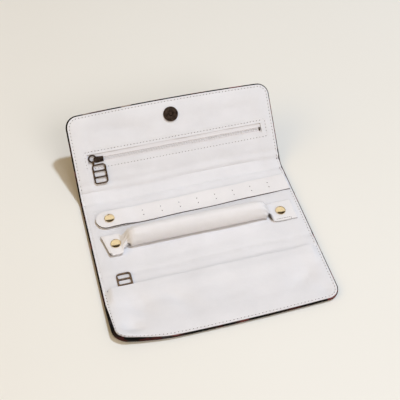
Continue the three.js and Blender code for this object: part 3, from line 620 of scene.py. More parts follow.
def lining_up(x, along):
    """The lining's height over the ideal panel surface."""
    x, along = np.broadcast_arrays(np.asarray(x, float), np.asarray(along, float))
    inside = edge_distance(x, along)
    roll = np.clip(1 - inside / EDGE_ROLL, 0, 1)
    up = -EDGE_DROP * (1 - np.sqrt(np.clip(1 - roll**2, 0, 1)))
    up = up - SEAM_DEPTH * bump(inside - SEAM_INSET, SEAM_REACH)
    swell = np.clip((inside - SEAM_INSET) / SWELL_REACH, 0, 1)
    up = up + PAD_SWELL * np.sin(swell * math.pi) * (inside > SEAM_INSET)
    calm = np.clip(inside / CALM_REACH, LEAST_RIPPLE, 1)
    waves = sum(share * ripple(x, along, size, seed) for size, seed, share in RIPPLES)
    up = up + RIPPLE * waves * calm
    for cx, cy, rx, ry, depth, turned_by in DIMPLES:
        angle = math.radians(turned_by)
        dx, dy = x - cx * MM, along - cy * MM
        u = (dx * math.cos(angle) + dy * math.sin(angle)) / (rx * MM)
        v = (dy * math.cos(angle) - dx * math.sin(angle)) / (ry * MM)
        reach = u**2 + v**2
        up = up - DIMPLE_SCALE * depth * MM * np.exp(-reach) * (1 - 0.5 * reach * np.exp(-reach)) * calm
    for crease, width, depth in SOFT_CREASES:
        line = crease * MM + CREASE_SWAY * np.sin(x / CREASE_LENGTH)
        up = up - depth * MM * bump(along - line, width * MM)
    around = seam_box_distance(x, along)
    up = up - ZIP_SEAM_DEPTH * bump(around, ZIP_SEAM_REACH)
    sunk = bump(np.clip(around + ZIP_SINK_INSET, 0, None), ZIP_SINK_REACH)
    return np.maximum(up - ZIP_SINK * sunk, LOWEST)


print("lining height from", len(DIMPLES), "dimples")

# %% [markdown]
# A sheet is a grid of four-sided faces. Its columns run the length of the pouch, closer together round
# the corners, and its rows run across. Near a free end the rows spread so that the last one is the bowed,
# rounded edge itself. The UV map holds the place on the flat cloth in metres, so a weave follows every
# bend.

# %% Grids on the flat pouch
WINDOW_X = (-84 * MM, 84.2 * MM)
WINDOW_Y = (32.8 * MM, 41.5 * MM)
ROUND_FROM_FLAP = 46 * MM
ROUND_FROM_FRONT = -138 * MM
COLUMN_COUNT = 88
CORNER_COUNT = 9
END_ROWS = 20
ROW_PITCH = 2 * MM
DRAWN_IN = 2.4 * MM
DRAWN_REACH = 42 * MM
DRAWN_POWER = 0.8
RING_SLACK = 0.2 * MM
MERGE = 0.001 * MM


def columns(inset):
    flat = half_width - CORNER_RADIUS
    middle = np.linspace(-flat, flat, COLUMN_COUNT)
    for line in WINDOW_X:
        middle[np.argmin(np.abs(middle - line))] = line
    corner = flat + (CORNER_RADIUS - inset) * np.sin(np.linspace(0, math.pi / 2, CORNER_COUNT + 1))[1:]
    return np.concatenate([-corner[::-1], middle, corner])


def rows(start, stop):
    count = max(2, round(abs(stop - start) / ROW_PITCH) + 1)
    lines = np.linspace(start, stop, count)
    for line in WINDOW_Y:
        if min(start, stop) < line < max(start, stop):
            lines[np.argmin(np.abs(lines - line))] = line
    return lines


def is_free(stop):
    return stop in (flap_edge, front_edge)


def flat_grid(start, stop, inset):
    """Places across and along for a sheet between two lines. A line at a free edge follows its outline."""
    across = columns(inset)
    if not is_free(stop):
        along = np.repeat(rows(start, stop)[:, None], len(across), 1)
        return np.broadcast_to(across, along.shape).copy(), along
    turning = ROUND_FROM_FLAP if stop > 0 else ROUND_FROM_FRONT
    straight = rows(start, turning)
    flat = half_width - CORNER_RADIUS
    steps = np.linspace(0, math.pi / 2, CORNER_COUNT + 1)[1:]
    drop = (CORNER_RADIUS - inset) * (1 - np.cos(steps))
    inner = EDGE_BOW * (across[CORNER_COUNT:-CORNER_COUNT] / flat) ** 2
    lost = np.concatenate([(EDGE_BOW + drop)[::-1], inner, EDGE_BOW + drop])
    edge = math.copysign(1, stop) * (abs(stop) - inset - lost)
    share = np.linspace(0, 1, END_ROWS)[1:]
    last = turning + (edge[None, :] - turning) * share[:, None]
    along = np.concatenate([np.repeat(straight[:, None], len(across), 1), last])
    return np.broadcast_to(across, along.shape).copy(), along


def rim(start, stop, inset):
    """The boundary of that grid at an inset: one open line round a free end, or a left and a right one."""
    x, along = flat_grid(start, stop, inset)
    left = np.stack([x[:, 0], along[:, 0]], -1)
    right = np.stack([x[:, -1], along[:, -1]], -1)
    if not is_free(stop):
        return [left, right]
    end = np.stack([x[-1], along[-1]], -1)
    return [np.concatenate([left[:-1], end, right[::-1][1:]])]


def rim_index(shape, stop):
    """The numbers of the boundary's points in the grid."""
    count_rows, count_columns = shape
    index = np.arange(count_rows * count_columns).reshape(shape)
    if not is_free(stop):
        return [index[:, 0], index[:, -1]]
    return [np.concatenate([index[:-1, 0], index[-1], index[::-1, -1][1:]])]


def drawn_in(x, along):
    """How far the lining is drawn in at the front left corner, where the outer cloth rolls over it."""
    return DRAWN_IN * near_corner(x, along, DRAWN_REACH) ** DRAWN_POWER


# %% [markdown]
# Every soft piece is written as a plain mesh from numbered points. A sheet's grid is laid by the map, and
# rings go on from its sides to make the turned edge. The helpers after it merge, thicken and dress a
# piece, so that each one below says only what is special about it.

# %% Pieces from points, and helpers that finish them
def grid_faces(index):
    """The four-sided faces between the rows of a table of point numbers."""
    return np.stack([index[:-1, :-1], index[:-1, 1:], index[1:, 1:], index[1:, :-1]], -1).reshape(-1, 4)


def new_piece(name, points, faces, flat=None):
    """A mesh piece, with the flat place of each point as its UV map."""
    mesh = bpy.data.meshes.new(name)
    mesh.from_pydata(np.asarray(points).tolist(), [], [list(map(int, face)) for face in faces])
    if flat is not None:
        layer = mesh.uv_layers.new(name="cloth")
        corners = np.zeros(len(mesh.loops), int)
        mesh.loops.foreach_get("vertex_index", corners)
        layer.data.foreach_set("uv", np.asarray(flat)[corners].astype(np.float32).ravel())
    mesh.polygons.foreach_set("use_smooth", [True] * len(mesh.polygons))
    piece = bpy.data.objects.new(name, mesh)
    bpy.context.scene.collection.objects.link(piece)
    return piece


def clean(piece, toward=None, close=False):
    """Merges doubles, drops loose points, fills open ends if asked, and turns the faces one way."""
    work = bmesh.new()
    work.from_mesh(piece.data)
    bmesh.ops.remove_doubles(work, verts=work.verts, dist=MERGE)
    bmesh.ops.delete(work, geom=[v for v in work.verts if not v.link_faces], context="VERTS")
    if close:
        filled = bmesh.ops.holes_fill(work, edges=[e for e in work.edges if e.is_boundary], sides=0)
        bmesh.ops.triangulate(work, faces=filled["faces"])
    bmesh.ops.recalc_face_normals(work, faces=work.faces)
    if toward is not None:
        facing = sum((face.normal * face.calc_area() for face in work.faces), Vector())
        if facing.dot(Vector(toward)) < 0:
            bmesh.ops.reverse_faces(work, faces=work.faces)
    work.to_mesh(piece.data)
    work.free()
    return piece


def panel_piece(name, start, stop, inset, height, rings, keep=None, under=None):
    """A sheet between two lines: a grid, then rings that carry its sides on. Each ring is an inset, a
    height function and how much it is drawn in at the corner. With under, the height of a floor, it is a
    closed pad."""
    x, along = flat_grid(start, stop, inset)
    flat = [np.stack([x.ravel(), along.ravel()], -1)]
    points = [place(x, along, height(x, along)).reshape(-1, 3)]
    quads = grid_faces(np.arange(x.size).reshape(x.shape))
    if keep is not None:
        mid_x = (x[:-1, :-1] + x[1:, 1:]) / 2
        mid_along = (along[:-1, :-1] + along[1:, 1:]) / 2
        quads = quads[keep(mid_x, mid_along).ravel()]
    faces = quads.tolist()
    before = rim_index(x.shape, stop)
    total = x.size
    outward = [(a - b) / MM for a, b in zip(rim(start, stop, 0), rim(start, stop, MM))]
    gone = 0.0
    last = inset
    for ring_inset, ring_height, drawn in rings:
        gone += abs(last - ring_inset) + RING_SLACK
        last = ring_inset
        after = []
        for line, out in zip(rim(start, stop, ring_inset), outward):
            ring_up = ring_height(line[:, 0], line[:, 1])
            line = line - out * (drawn * drawn_in(line[:, 0], line[:, 1]))[:, None]
            points.append(place(line[:, 0], line[:, 1], ring_up))
            flat.append(line + out * gone)
            after.append(np.arange(total, total + len(line)))
            total += len(line)
        for lines in zip(before, after):
            faces += grid_faces(np.stack(lines)).tolist()
        before = after
    if under is not None:
        points.append(place(x, along, np.full(x.shape, under)).reshape(-1, 3))
        flat.append(flat[0])
        faces += (quads + total).tolist()
        for one, two in zip(before, rim_index(x.shape, stop)):
            faces += grid_faces(np.stack([one, two + total])).tolist()
    return new_piece(name, np.concatenate(points), faces, np.concatenate(flat))


def settle(piece):
    """Turns a piece and its modifiers into one plain mesh."""
    seen = piece.evaluated_get(bpy.context.evaluated_depsgraph_get())
    mesh = bpy.data.meshes.new_from_object(seen)
    piece.modifiers.clear()
    piece.data = mesh
    return piece


def thicken(piece, thickness):
    """Gives a sheet its thickness, on the side away from its faces."""
    wall = piece.modifiers.new("wall", "SOLIDIFY")
    wall.thickness = thickness
    wall.offset = -1
    return settle(piece)


def sharpen(piece, degrees):
    """Smooth shading that stops at edges sharper than this."""
    work = bmesh.new()
    work.from_mesh(piece.data)
    for face in work.faces:
        face.smooth = True
    for edge in work.edges:
        edge.smooth = len(edge.link_faces) != 2 or edge.calc_face_angle(0) < math.radians(degrees)
    work.to_mesh(piece.data)
    work.free()
    return piece


def dress(piece, finish):
    piece.data.materials.clear()
    piece.data.materials.append(finish)
    return piece


def on_line(along):
    """The point in the middle of a line across, for the ends of a blend."""
    return tuple(float(v) for v in place(0.0, along, 0.0))


def level(value):
    """A height function that is the same everywhere."""
    return lambda x, along: np.full(np.shape(x), value)


UPWARD = (0, 0, 1)
DOWNWARD = (0, 0, -1)
CRISP = 50
SOFT = 60

# %% [markdown]
# Each soft part holds one crease only, because a real seam gives no sharper hinge than that. This
# table names the parts in order, from the front edge to the flap: the two lines between which each lies,
# the bodies it joins, and where its bend starts and ends. All layers are divided at the same lines.

# %% Where the cloth is divided
SPLIT_FRONT = -100.1 * MM
MOUTH = -103.6 * MM
SPLIT_MIDDLE = -51.8 * MM
SPLIT_LOW = -7.4 * MM
SPLIT_HIGH = 6.5 * MM
BEND_HALF = 3 * MM
BEND_SHARE = 0.92


def about(crease, reach=BEND_HALF):
    return crease - reach, crease + reach


SPANS = {
    "front": (SPLIT_FRONT, front_edge, "front_panel", "front_wall", *about(crease_front)),
    "middle_front": (SPLIT_FRONT, SPLIT_MIDDLE, "front_wall", "middle_panel", *about(crease_middle)),
    "middle_back": (SPLIT_MIDDLE, SPLIT_LOW, "middle_panel", "back_low", *about(crease_back)),
    "bend": (SPLIT_LOW, SPLIT_HIGH, "back_low", "back_high", *about(0, BEND_REACH * BEND_SHARE)),
    "flap": (SPLIT_HIGH, flap_edge, "back_high", "flap", *about(leg_high)),
}


def join_bodies(piece):
    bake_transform(piece)


print("soft parts from front to flap:", ", ".join(SPANS))

# %% [markdown]
# The outer cloth wraps the underside and turns up round the edges to the seam. Its section is a quarter
# round at the foot and a straight wall, made by rings that go on from the grid's edge, and a Solidify
# modifier gives the cloth its thickness inwards. It stands a little proud of the lining, more on the left
# than on the right, because the photograph shows its dark rim on the left only.

# %% Outer cloth
OUTER_CLEAR = 0.3 * MM
OUTER_WALL = 0.6 * MM
RIM_TOP = -0.4 * MM
EDGE_PROUD = 0.4 * MM
EDGE_SHIFT = 0.3 * MM
RIM_SHARE = 0.8
RIM_INSET = 0.5 * MM
RIM_DRAWN = 0.9
FOOT_ROUND = 1.8 * MM
FOOT_STEPS = 4
OUTER_SHARP = 40


def outer_rings():
    low = OUTER_CLEAR - surface
    rings = []
    for step in range(1, FOOT_STEPS + 1):
        angle = step / FOOT_STEPS * math.pi / 2
        foot = level(low + FOOT_ROUND * (1 - math.cos(angle)))
        rings.append((FOOT_ROUND * (1 - math.sin(angle)), foot, 0))
    rings.append((-EDGE_PROUD, level((low + FOOT_ROUND + RIM_TOP) / 2), 0))
    rings.append((-RIM_SHARE * EDGE_PROUD, level(RIM_TOP), 0))
    rings.append((RIM_INSET, level(RIM_TOP), RIM_DRAWN))
    return low, rings


OUTER_NODES = {
    "front": ["front_outer", "front_wall_outer"],
    "middle_front": ["front_wall_outer", "middle_outer"],
    "middle_back": ["middle_outer", "back_low_outer"],
    "bend": ["back_low_outer", "back_high_outer"],
    "flap": ["back_high_outer", "flap_outer"],
}
outer_low, outer_sides = outer_rings()
for span, (start, stop, *_rest) in SPANS.items():
    outer = panel_piece(f"outer_cloth_{span}", start, stop, FOOT_ROUND, level(outer_low), outer_sides)
    clean(outer, toward=DOWNWARD)
    outer.data.transform(Matrix.Translation((-EDGE_SHIFT, 0, 0)))
    dress(sharpen(thicken(outer, OUTER_WALL), OUTER_SHARP), outer_finish)
    join_bodies(outer)
    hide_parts(*OUTER_NODES[span])
print("outer cloth", len(SPANS), "parts")

# %% [markdown]
# The pads are the soft body of the pouch. Each is a closed mesh: its top is the lining's own height, its
# sides roll down to the seam, and its floor lies just over the outer cloth. The flap has a board in place
# of a pad, so there the lining is a thin sheet with the zip's window cut out of the grid.

# %% Padded lining
LINING_INSET = 4.2 * MM
# How far inside the edge each ring lies, in millimetres
EDGE_RINGS = [3.6, 3.1, 2.6, 2.1, 1.7, 1.3, 1.05, 0.85, 0.72]
EDGE_TURN = 0.8 * MM
PAD_FLOOR = 1.4 * MM - surface
LINING_WALL = 0.7 * MM


def lining_rings(height):
    share = np.linspace(0, 1, len(EDGE_RINGS))
    rings = [(inset * MM, height, drawn) for inset, drawn in zip(EDGE_RINGS, share)]
    rings.append((EDGE_TURN, lambda x, along: height(x, along) - EDGE_TURN, 1))
    return rings


PAD_NODES = {
    "middle_front": ["front_wall_lining", "front_wall_padding", "middle_lining", "middle_padding"],
    "middle_back": ["middle_lining", "middle_padding", "back_low_lining", "back_low_padding"],
    "bend": ["back_low_lining", "back_low_padding", "back_high_lining", "back_high_padding"],
}
UNDER_LIP = -104.0 * MM
for span, nodes in PAD_NODES.items():
    start, stop = SPANS[span][:2]
    start = UNDER_LIP if span == "middle_front" else start
    pad = panel_piece(
        f"lining_{span}", start, stop, LINING_INSET, lining_up, lining_rings(lining_up), under=PAD_FLOOR
    )
    clean(pad, close=True)
    dress(sharpen(pad, SOFT), lining_finish)
    join_bodies(pad)
    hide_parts(*nodes)


def off_window(x, along):
    across = (x > WINDOW_X[0]) & (x < WINDOW_X[1])
    return ~(across & (along > WINDOW_Y[0]) & (along < WINDOW_Y[1]))


start, stop = SPANS["flap"][:2]
flap_lining = panel_piece(
    "lining_flap", start, stop, LINING_INSET, lining_up, lining_rings(lining_up), keep=off_window
)
clean(flap_lining, toward=UPWARD)
dress(sharpen(thicken(flap_lining, LINING_WALL), SOFT), lining_finish)
join_bodies(flap_lining)
flap_nodes = ["back_high_lining", "back_high_padding", "flap_lining", "flap_board", "flap_pocket_bag"]
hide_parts(*flap_nodes)
print("lining", len(PAD_NODES) + 1, "parts")

# %% [markdown]
# The front pocket's face is one sheet. Its mouth is a lip that stands up over a hidden zip, and past the
# lip it comes down and lies on the front panel. The lip stands high enough for the slider and its charm
# to move under it. A small notch is left open at its left end, as in the photograph.

# %% Pocket face
LIP_RISE = 3.25 * MM
LIP_END = -111 * MM
LIP_FOOT = -123 * MM
LIP_SIDE = (1.5 * MM, 9 * MM)
LIP_CALM = 0.5
# Waves of the lip: height, length and start
LIP_WAVES = [(0.25 * MM, 13 * MM, 0.0), (0.2 * MM, 7.1 * MM, 1.0)]
NOTCH_X = -92.6 * MM
NOTCH_END = -106 * MM


def face_up(x, along):
    """Height of the pocket's face: the lip over the zip, then the panel."""
    x, along = np.broadcast_arrays(np.asarray(x, float), np.asarray(along, float))
    raised = fade(along, LIP_FOOT, LIP_END)
    sides = fade(half_width - np.abs(x), *LIP_SIDE)
    wavy = sum(high * np.sin(x / long + begin) for high, long, begin in LIP_WAVES)
    body = lining_up(x, along) * (1 - LIP_CALM * raised)
    return body + LIP_RISE * raised * sides + wavy * fade(along, LIP_END, MOUTH) * sides


def off_notch(x, along):
    return ~((x < NOTCH_X) & (along > NOTCH_END))


pocket_face = panel_piece(
    "pocket_face", MOUTH, front_edge, LINING_INSET, face_up, lining_rings(face_up), keep=off_notch
)
clean(pocket_face, toward=UPWARD)
dress(sharpen(thicken(pocket_face, LINING_WALL), SOFT), lining_finish)
join_bodies(pocket_face)
face_nodes = ["pocket_lip", "front_lining", "front_padding", "front_pocket_bag"]
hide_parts(*face_nodes)
print("pocket face", len(pocket_face.data.vertices), "points")

# %% [markdown]
# Sewn seams are rows of stitches, so Geometry Nodes make them: a path is cut into equal steps, and a
# stitch and a needle hole are set on each step, turned along the path and square to the cloth. Each path
# carries the cloth's own direction as an attribute, because a bare line doesn't know which way is up.

# %% Helpers for trees that set parts along a path
def geometry_tree(name, lengths, materials):
    """A new tree that takes a path, some lengths and some materials."""
    tree = bpy.data.node_groups.new(name, "GeometryNodeTree")
    tree.interface.new_socket(name="Path", in_out="INPUT", socket_type="NodeSocketGeometry")
    for label in lengths:
        tree.interface.new_socket(name=label, in_out="INPUT", socket_type="NodeSocketFloat")
    for label in materials:
        tree.interface.new_socket(name=label, in_out="INPUT", socket_type="NodeSocketMaterial")
    tree.interface.new_socket(name="Geometry", in_out="OUTPUT", socket_type="NodeSocketGeometry")
    return tree, tree.nodes.new("NodeGroupInput"), tree.nodes.new("NodeGroupOutput")


def along_path(tree, given, pitch):
    """Points at equal steps on the path, and the rotation that sets a part on it."""
    curve = add(tree, "GeometryNodeMeshToCurve")
    wire(tree, given.outputs["Path"], curve.inputs["Mesh"])
    steps = add(tree, "GeometryNodeResampleCurve", mode="LENGTH")
    wire(tree, curve.outputs["Curve"], steps.inputs["Curve"])
    wire(tree, given.outputs[pitch], steps.inputs["Length"])
    tangent = add(tree, "GeometryNodeInputTangent")
    upward = add(tree, "GeometryNodeInputNamedAttribute", data_type="FLOAT_VECTOR")
    upward.inputs["Name"].default_value = "upward"
    turning = add(tree, "FunctionNodeAxesToRotation", primary_axis="X", secondary_axis="Z")
    wire(tree, tangent.outputs["Tangent"], turning.inputs["Primary Axis"])
    wire(tree, upward.outputs["Attribute"], turning.inputs["Secondary Axis"])
    return steps.outputs["Curve"], turning.outputs["Rotation"]


def vector_of(tree, *parts):
    node = add(tree, "ShaderNodeCombineXYZ")
    for socket, part in zip(node.inputs, parts):
        if isinstance(part, (int, float)):
            socket.default_value = part
        else:
            wire(tree, part, socket)
    return node.outputs[0]


def asked(tree, given, *labels):
    """Three inputs of a tree as one vector."""
    return vector_of(tree, *(given.outputs[label] for label in labels))


def set_out(tree, points, part, rotation, material, shift=None):
    """The part at every point, as real mesh with its material."""
    copies = add(tree, "GeometryNodeInstanceOnPoints")
    wire(tree, points, copies.inputs["Points"])
    wire(tree, part, copies.inputs["Instance"])
    wire(tree, rotation, copies.inputs["Rotation"])
    made = copies.outputs["Instances"]
    if shift is not None:
        moved = add(tree, "GeometryNodeTranslateInstances")
        wire(tree, made, moved.inputs["Instances"])
        wire(tree, shift, moved.inputs["Translation"])
        made = moved.outputs["Instances"]
    real = add(tree, "GeometryNodeRealizeInstances")
    wire(tree, made, real.inputs["Geometry"])
    coat = add(tree, "GeometryNodeSetMaterial")
    wire(tree, real.outputs["Geometry"], coat.inputs["Geometry"])
    wire(tree, material, coat.inputs["Material"])
    return coat.outputs["Geometry"]


def sized_ball(tree, size, segments, rings):
    ball = add(tree, "GeometryNodeMeshUVSphere")
    ball.inputs["Segments"].default_value = segments
    ball.inputs["Rings"].default_value = rings
    ball.inputs["Radius"].default_value = 0.5
    scaled = add(tree, "GeometryNodeTransform")
    wire(tree, ball.outputs["Mesh"], scaled.inputs["Geometry"])
    wire(tree, size, scaled.inputs["Scale"])
    return scaled.outputs["Geometry"]


# %% [markdown]
# Each step of a seam has two parts: a stretched ball for the stitch and, half a step further, a flat dark
# one that paints the shade in the needle hole. One tree makes both, so they keep their spacing round
# every curve.

# %% A tree that sews along a path
seam_tree, given, made = geometry_tree(
    "seam", lengths=["Pitch", "Stitch Length", "Thread", "Hole"], materials=["Thread Finish", "Hole Finish"]
)
points, rotation = along_path(seam_tree, given, "Pitch")
thread_size = asked(seam_tree, given, "Stitch Length", "Thread", "Thread")
stitch = sized_ball(seam_tree, thread_size, segments=6, rings=5)
hole_size = asked(seam_tree, given, "Hole", "Hole", "Thread")
hole = sized_ball(seam_tree, hole_size, segments=7, rings=4)
half_pitch = vector_of(seam_tree, sum_of(seam_tree, given.outputs["Pitch"], 0.5, "MULTIPLY"), 0.0, 0.0)
holes = set_out(seam_tree, points, hole, rotation, given.outputs["Hole Finish"], half_pitch)
stitches = set_out(seam_tree, points, stitch, rotation, given.outputs["Thread Finish"])
sewn = add(seam_tree, "GeometryNodeJoinGeometry")
wire(seam_tree, holes, sewn.inputs[0])
wire(seam_tree, stitches, sewn.inputs[0])
wire(seam_tree, sewn.outputs[0], made.inputs[0])


def path_piece(name, points, upward, closed=False):
    """A bare line that knows its upward direction, ready for a tree."""
    mesh = bpy.data.meshes.new(name)
    count = len(points)
    edges = [(i, i + 1) for i in range(count - 1)] + ([(count - 1, 0)] if closed else [])
    mesh.from_pydata(np.asarray(points).tolist(), edges, [])
    attribute = mesh.attributes.new("upward", "FLOAT_VECTOR", "POINT")
    attribute.data.foreach_set("vector", np.asarray(upward, np.float32).ravel())
    piece = bpy.data.objects.new(name, mesh)
    bpy.context.scene.collection.objects.link(piece)
    return piece


def run_tree(piece, tree, values):
    """Puts a tree on a piece with its inputs set by identifier, and keeps the result as a plain mesh."""
    work = piece.modifiers.new(tree.name, "NODES")
    work.node_group = tree
    for item in tree.interface.items_tree:
        if item.item_type == "SOCKET" and item.in_out == "INPUT" and item.name in values:
            work[item.identifier] = values[item.name]
    piece.update_tag()
    bpy.context.view_layer.update()
    return settle(piece)


print("seam tree", len(seam_tree.nodes), "nodes")

# %% [markdown]
# A seam is given by its line on the flat pouch and by the height of the layer that it holds. The map
# turns both into points in space, and a second row of points one millimetre higher gives the upward
# direction.

# %% Sewing on the cloth
STITCH_SINK = 0.02 * MM
SEAM_VALUES = {
    "Pitch": 3.1 * MM,
    "Stitch Length": 2.2 * MM,
    "Thread": 0.42 * MM,
    "Hole": 1.0 * MM,
    "Thread Finish": thread_finish,
    "Hole Finish": hole_shade_finish,
}


def cloth_path(x, along, up):
    """Points over the cloth and its upward direction there."""
    low = place(x, along, up)
    return low, (place(x, along, up + MM) - low) / MM


def sew(name, x, along, height, closed=False, **changes):
    """A row of stitches along a line on the flat pouch, at the height of a layer."""
    points, upward = cloth_path(x, along, height(x, along) - STITCH_SINK)
    piece = path_piece(name, points, upward, closed)
    run_tree(piece, seam_tree, {**SEAM_VALUES, **changes})
    sharpen(piece, SOFT)
    return piece


def dense(line, pitch):
    """A polyline with points at even steps."""
    line = np.asarray(line, float)
    run = np.concatenate([[0], np.cumsum(np.linalg.norm(np.diff(line, axis=0), axis=1))])
    steps = np.linspace(0, run[-1], max(2, round(run[-1] / pitch)))
    return np.stack([np.interp(steps, run, line[:, i]) for i in range(line.shape[1])], -1)


# %% [markdown]
# One seam runs round the whole edge. It is made in a part for each soft part of the pouch, and it is
# drawn in at the front left corner as the lining is. Down the left side its needle holes are smaller. A
# second seam is a rectangle round the flap's zip.

# %% Stitches round the edge and round the zip
SEAM_DRAWN = 0.25
HIDDEN_HOLE = 0.4 * MM
for span, (start, stop, *_rest) in SPANS.items():
    start = NOTCH_END if span == "front" else start
    height = face_up if span == "front" else lining_up
    inner = rim(start, stop, SEAM_INSET + MM)
    for number, line in enumerate(rim(start, stop, SEAM_INSET)):
        drawn = SEAM_DRAWN * drawn_in(line[:, 0], line[:, 1]) / MM
        path = dense(line + (inner[number] - line) * drawn[:, None], MM)
        hidden = {"Hole": HIDDEN_HOLE} if number == 0 and not is_free(stop) else {}
        seam = sew(f"edge_stitches_{span}_{number}", path[:, 0], path[:, 1], height, **hidden)
        join_bodies(seam)
corners = [
    (SEAM_LEFT, SEAM_LOW),
    (SEAM_RIGHT, SEAM_LOW),
    (SEAM_RIGHT, SEAM_HIGH),
    (SEAM_LEFT, SEAM_HIGH),
    (SEAM_LEFT, SEAM_LOW),
]
path = dense(corners, MM)[:-1]
zip_seam = sew("flap_zip_stitches", path[:, 0], path[:, 1], lining_up, closed=True)
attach(zip_seam, "flap")
print("stitches sewn")

# %% [markdown]
# A zip is two woven tapes with a row of teeth each. The tapes are plain strips with a rolled inner edge,
# and a second tree sets the teeth out along each edge: a round head on a narrow neck, half a step apart
# on the two sides so that they mesh. A fine row of binding thread runs beside them on each tape, made
# dark so that it also paints the thin lines of shade there.

# %% A tree that sets zip teeth
HEAD_SIDES = 8

teeth_tree, given, made = geometry_tree(
    "zip_teeth", lengths=["Pitch", "Head", "Neck", "Reach", "Thickness"], materials=["Finish"]
)
points, rotation = along_path(teeth_tree, given, "Pitch")
head = add(teeth_tree, "GeometryNodeMeshCylinder")
head.inputs["Vertices"].default_value = HEAD_SIDES
head.inputs["Radius"].default_value = 0.5
head.inputs["Depth"].default_value = 1.0
head_size = asked(teeth_tree, given, "Head", "Head", "Thickness")
head_place = vector_of(teeth_tree, 0.0, given.outputs["Reach"], 0.0)
heads = add(teeth_tree, "GeometryNodeTransform")
wire(teeth_tree, head.outputs["Mesh"], heads.inputs["Geometry"])
wire(teeth_tree, head_size, heads.inputs["Scale"])
wire(teeth_tree, head_place, heads.inputs["Translation"])
neck = add(teeth_tree, "GeometryNodeMeshCube")
neck_length = sum_of(teeth_tree, given.outputs["Reach"], 2.0, "MULTIPLY")
neck_size = vector_of(teeth_tree, given.outputs["Neck"], neck_length, given.outputs["Thickness"])
wire(teeth_tree, neck_size, neck.inputs["Size"])
tooth = add(teeth_tree, "GeometryNodeJoinGeometry")
wire(teeth_tree, heads.outputs["Geometry"], tooth.inputs[0])
wire(teeth_tree, neck.outputs["Mesh"], tooth.inputs[0])
row = set_out(teeth_tree, points, tooth.outputs[0], rotation, given.outputs["Finish"])
wire(teeth_tree, row, made.inputs[0])
print("teeth tree", len(teeth_tree.nodes), "nodes")

# %% [markdown]
# Both zips are made by the same lines, and the frame's own boxes say where the teeth begin and end: at
# the middle of the slider and at the bottom stop.

# %% Tapes and teeth
TAPE_UP = -1.0 * MM
TAPE_WALL = 0.5 * MM
TEETH_UP = -1.25 * MM
TAPE_UNDER = 2 * MM
TAPE_COLUMNS = 90
# Lines along a tape, in millimetres: how far each lies from the middle of the zip, and its height
TAPE_OUT = [0.06, 0.6, 0.95, 1.05, 1.4, 1.9, 2.6, 3.6]
TAPE_RISE = [-0.42, -0.36, -0.3, 0.02, 0.16, 0.12, 0.02, 0, 0]
TEETH_GAP = 0.75 * MM
TEETH_POINTS = 60
TOOTH_PITCH = 2.4 * MM
TEETH_VALUES = {
    "Pitch": TOOTH_PITCH,
    "Head": 0.95 * MM,
    "Neck": 0.6 * MM,
    "Reach": 0.55 * MM,
    "Thickness": 1.0 * MM,
    "Finish": teeth_finish,
}


def zip_tape(name, chain, side, reach):
    """One tape. side is 1 for the far tape and -1 for the near one."""
    across = np.linspace(ZIP_LEFT - TAPE_UNDER, ZIP_RIGHT, TAPE_COLUMNS)
    out = chain + side * np.array([*TAPE_OUT, reach / MM]) * MM
    up = TAPE_UP + np.array(TAPE_RISE) * MM
    x, along = np.meshgrid(across, out)
    points = place(x, along, np.repeat(up[:, None], len(across), 1)).reshape(-1, 3)
    faces = grid_faces(np.arange(x.size).reshape(x.shape))
    tape = new_piece(name, points, faces, np.stack([x.ravel(), along.ravel()], -1))
    clean(tape, toward=UPWARD)
    return dress(sharpen(thicken(tape, TAPE_WALL), CRISP), tape_finish)


def zip_teeth(name, chain, side, left, right):
    shift = 0 if side > 0 else TOOTH_PITCH / 2
    ends = (right, left + shift) if side > 0 else (left + shift, right)
    x = np.linspace(*ends, TEETH_POINTS)
    teeth = path_piece(name, *cloth_path(x, chain + side * TEETH_GAP, TEETH_UP))
    run_tree(teeth, teeth_tree, TEETH_VALUES)
    return teeth


BINDING_VALUES = {
    "Pitch": 1.5 * MM,
    "Stitch Length": 1.35 * MM,
    "Thread": 0.38 * MM,
    "Hole": 0.3 * MM,
    "Thread Finish": binding_and_shade_finish,
}
BINDING = 1.3 * MM
BINDING_UP = TAPE_UP + 0.1 * MM
BINDING_POINTS = 120
# Each zip: where it lies along the pouch, the width of tape that is seen or needed, and its body
ZIPS = {
    "flap": (CHAIN, 7.8 * MM, "flap"),
    "front": (crease_front + 4 * MM, 3.9 * MM, "front_wall"),
}
for zip_name, (chain, reach, body) in ZIPS.items():
    slider_low, slider_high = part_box(f"{zip_name}_zip_slider")
    teeth_from = (slider_low.x + slider_high.x) / 2
    teeth_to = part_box(f"{zip_name}_zip_bottom_stop")[0].x
    line = np.linspace(teeth_from, teeth_to, BINDING_POINTS)
    for side, side_name in ((1, "far"), (-1, "near")):
        tape = zip_tape(f"{zip_name}_tape_{side_name}", chain, side, reach)
        teeth = zip_teeth(f"{zip_name}_teeth_{side_name}", chain, side, teeth_from, teeth_to)
        binding = sew(
            f"{zip_name}_binding_{side_name}", line, np.full(line.shape, chain + side * BINDING),
            level(BINDING_UP), **BINDING_VALUES,
        )
        for piece in (tape, teeth, binding):
            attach(piece, body)
        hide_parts(f"{zip_name}_zip_tape_{side_name}")
print("zips made")

# %% [markdown]
# Small cast parts have their edges broken by tumbling, so no edge is sharp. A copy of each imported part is
# merged and bevelled, which keeps its exact place and size and gives its edges the light they have in
# life. The ring is bent from wire, so its copy is subdivided into a round section and made a little
# fuller.

# %% Softened copies of the cast parts
CAST_MERGE = 0.02 * MM
FLAT_ANGLE = math.radians(1)
BEVEL_ANGLE = math.radians(30)


def bevelled(piece, width, segments, angle):
    edge = piece.modifiers.new("edge", "BEVEL")
    edge.width = width
    edge.segments = segments
    edge.limit_method = "ANGLE"
    edge.angle_limit = angle
    return piece


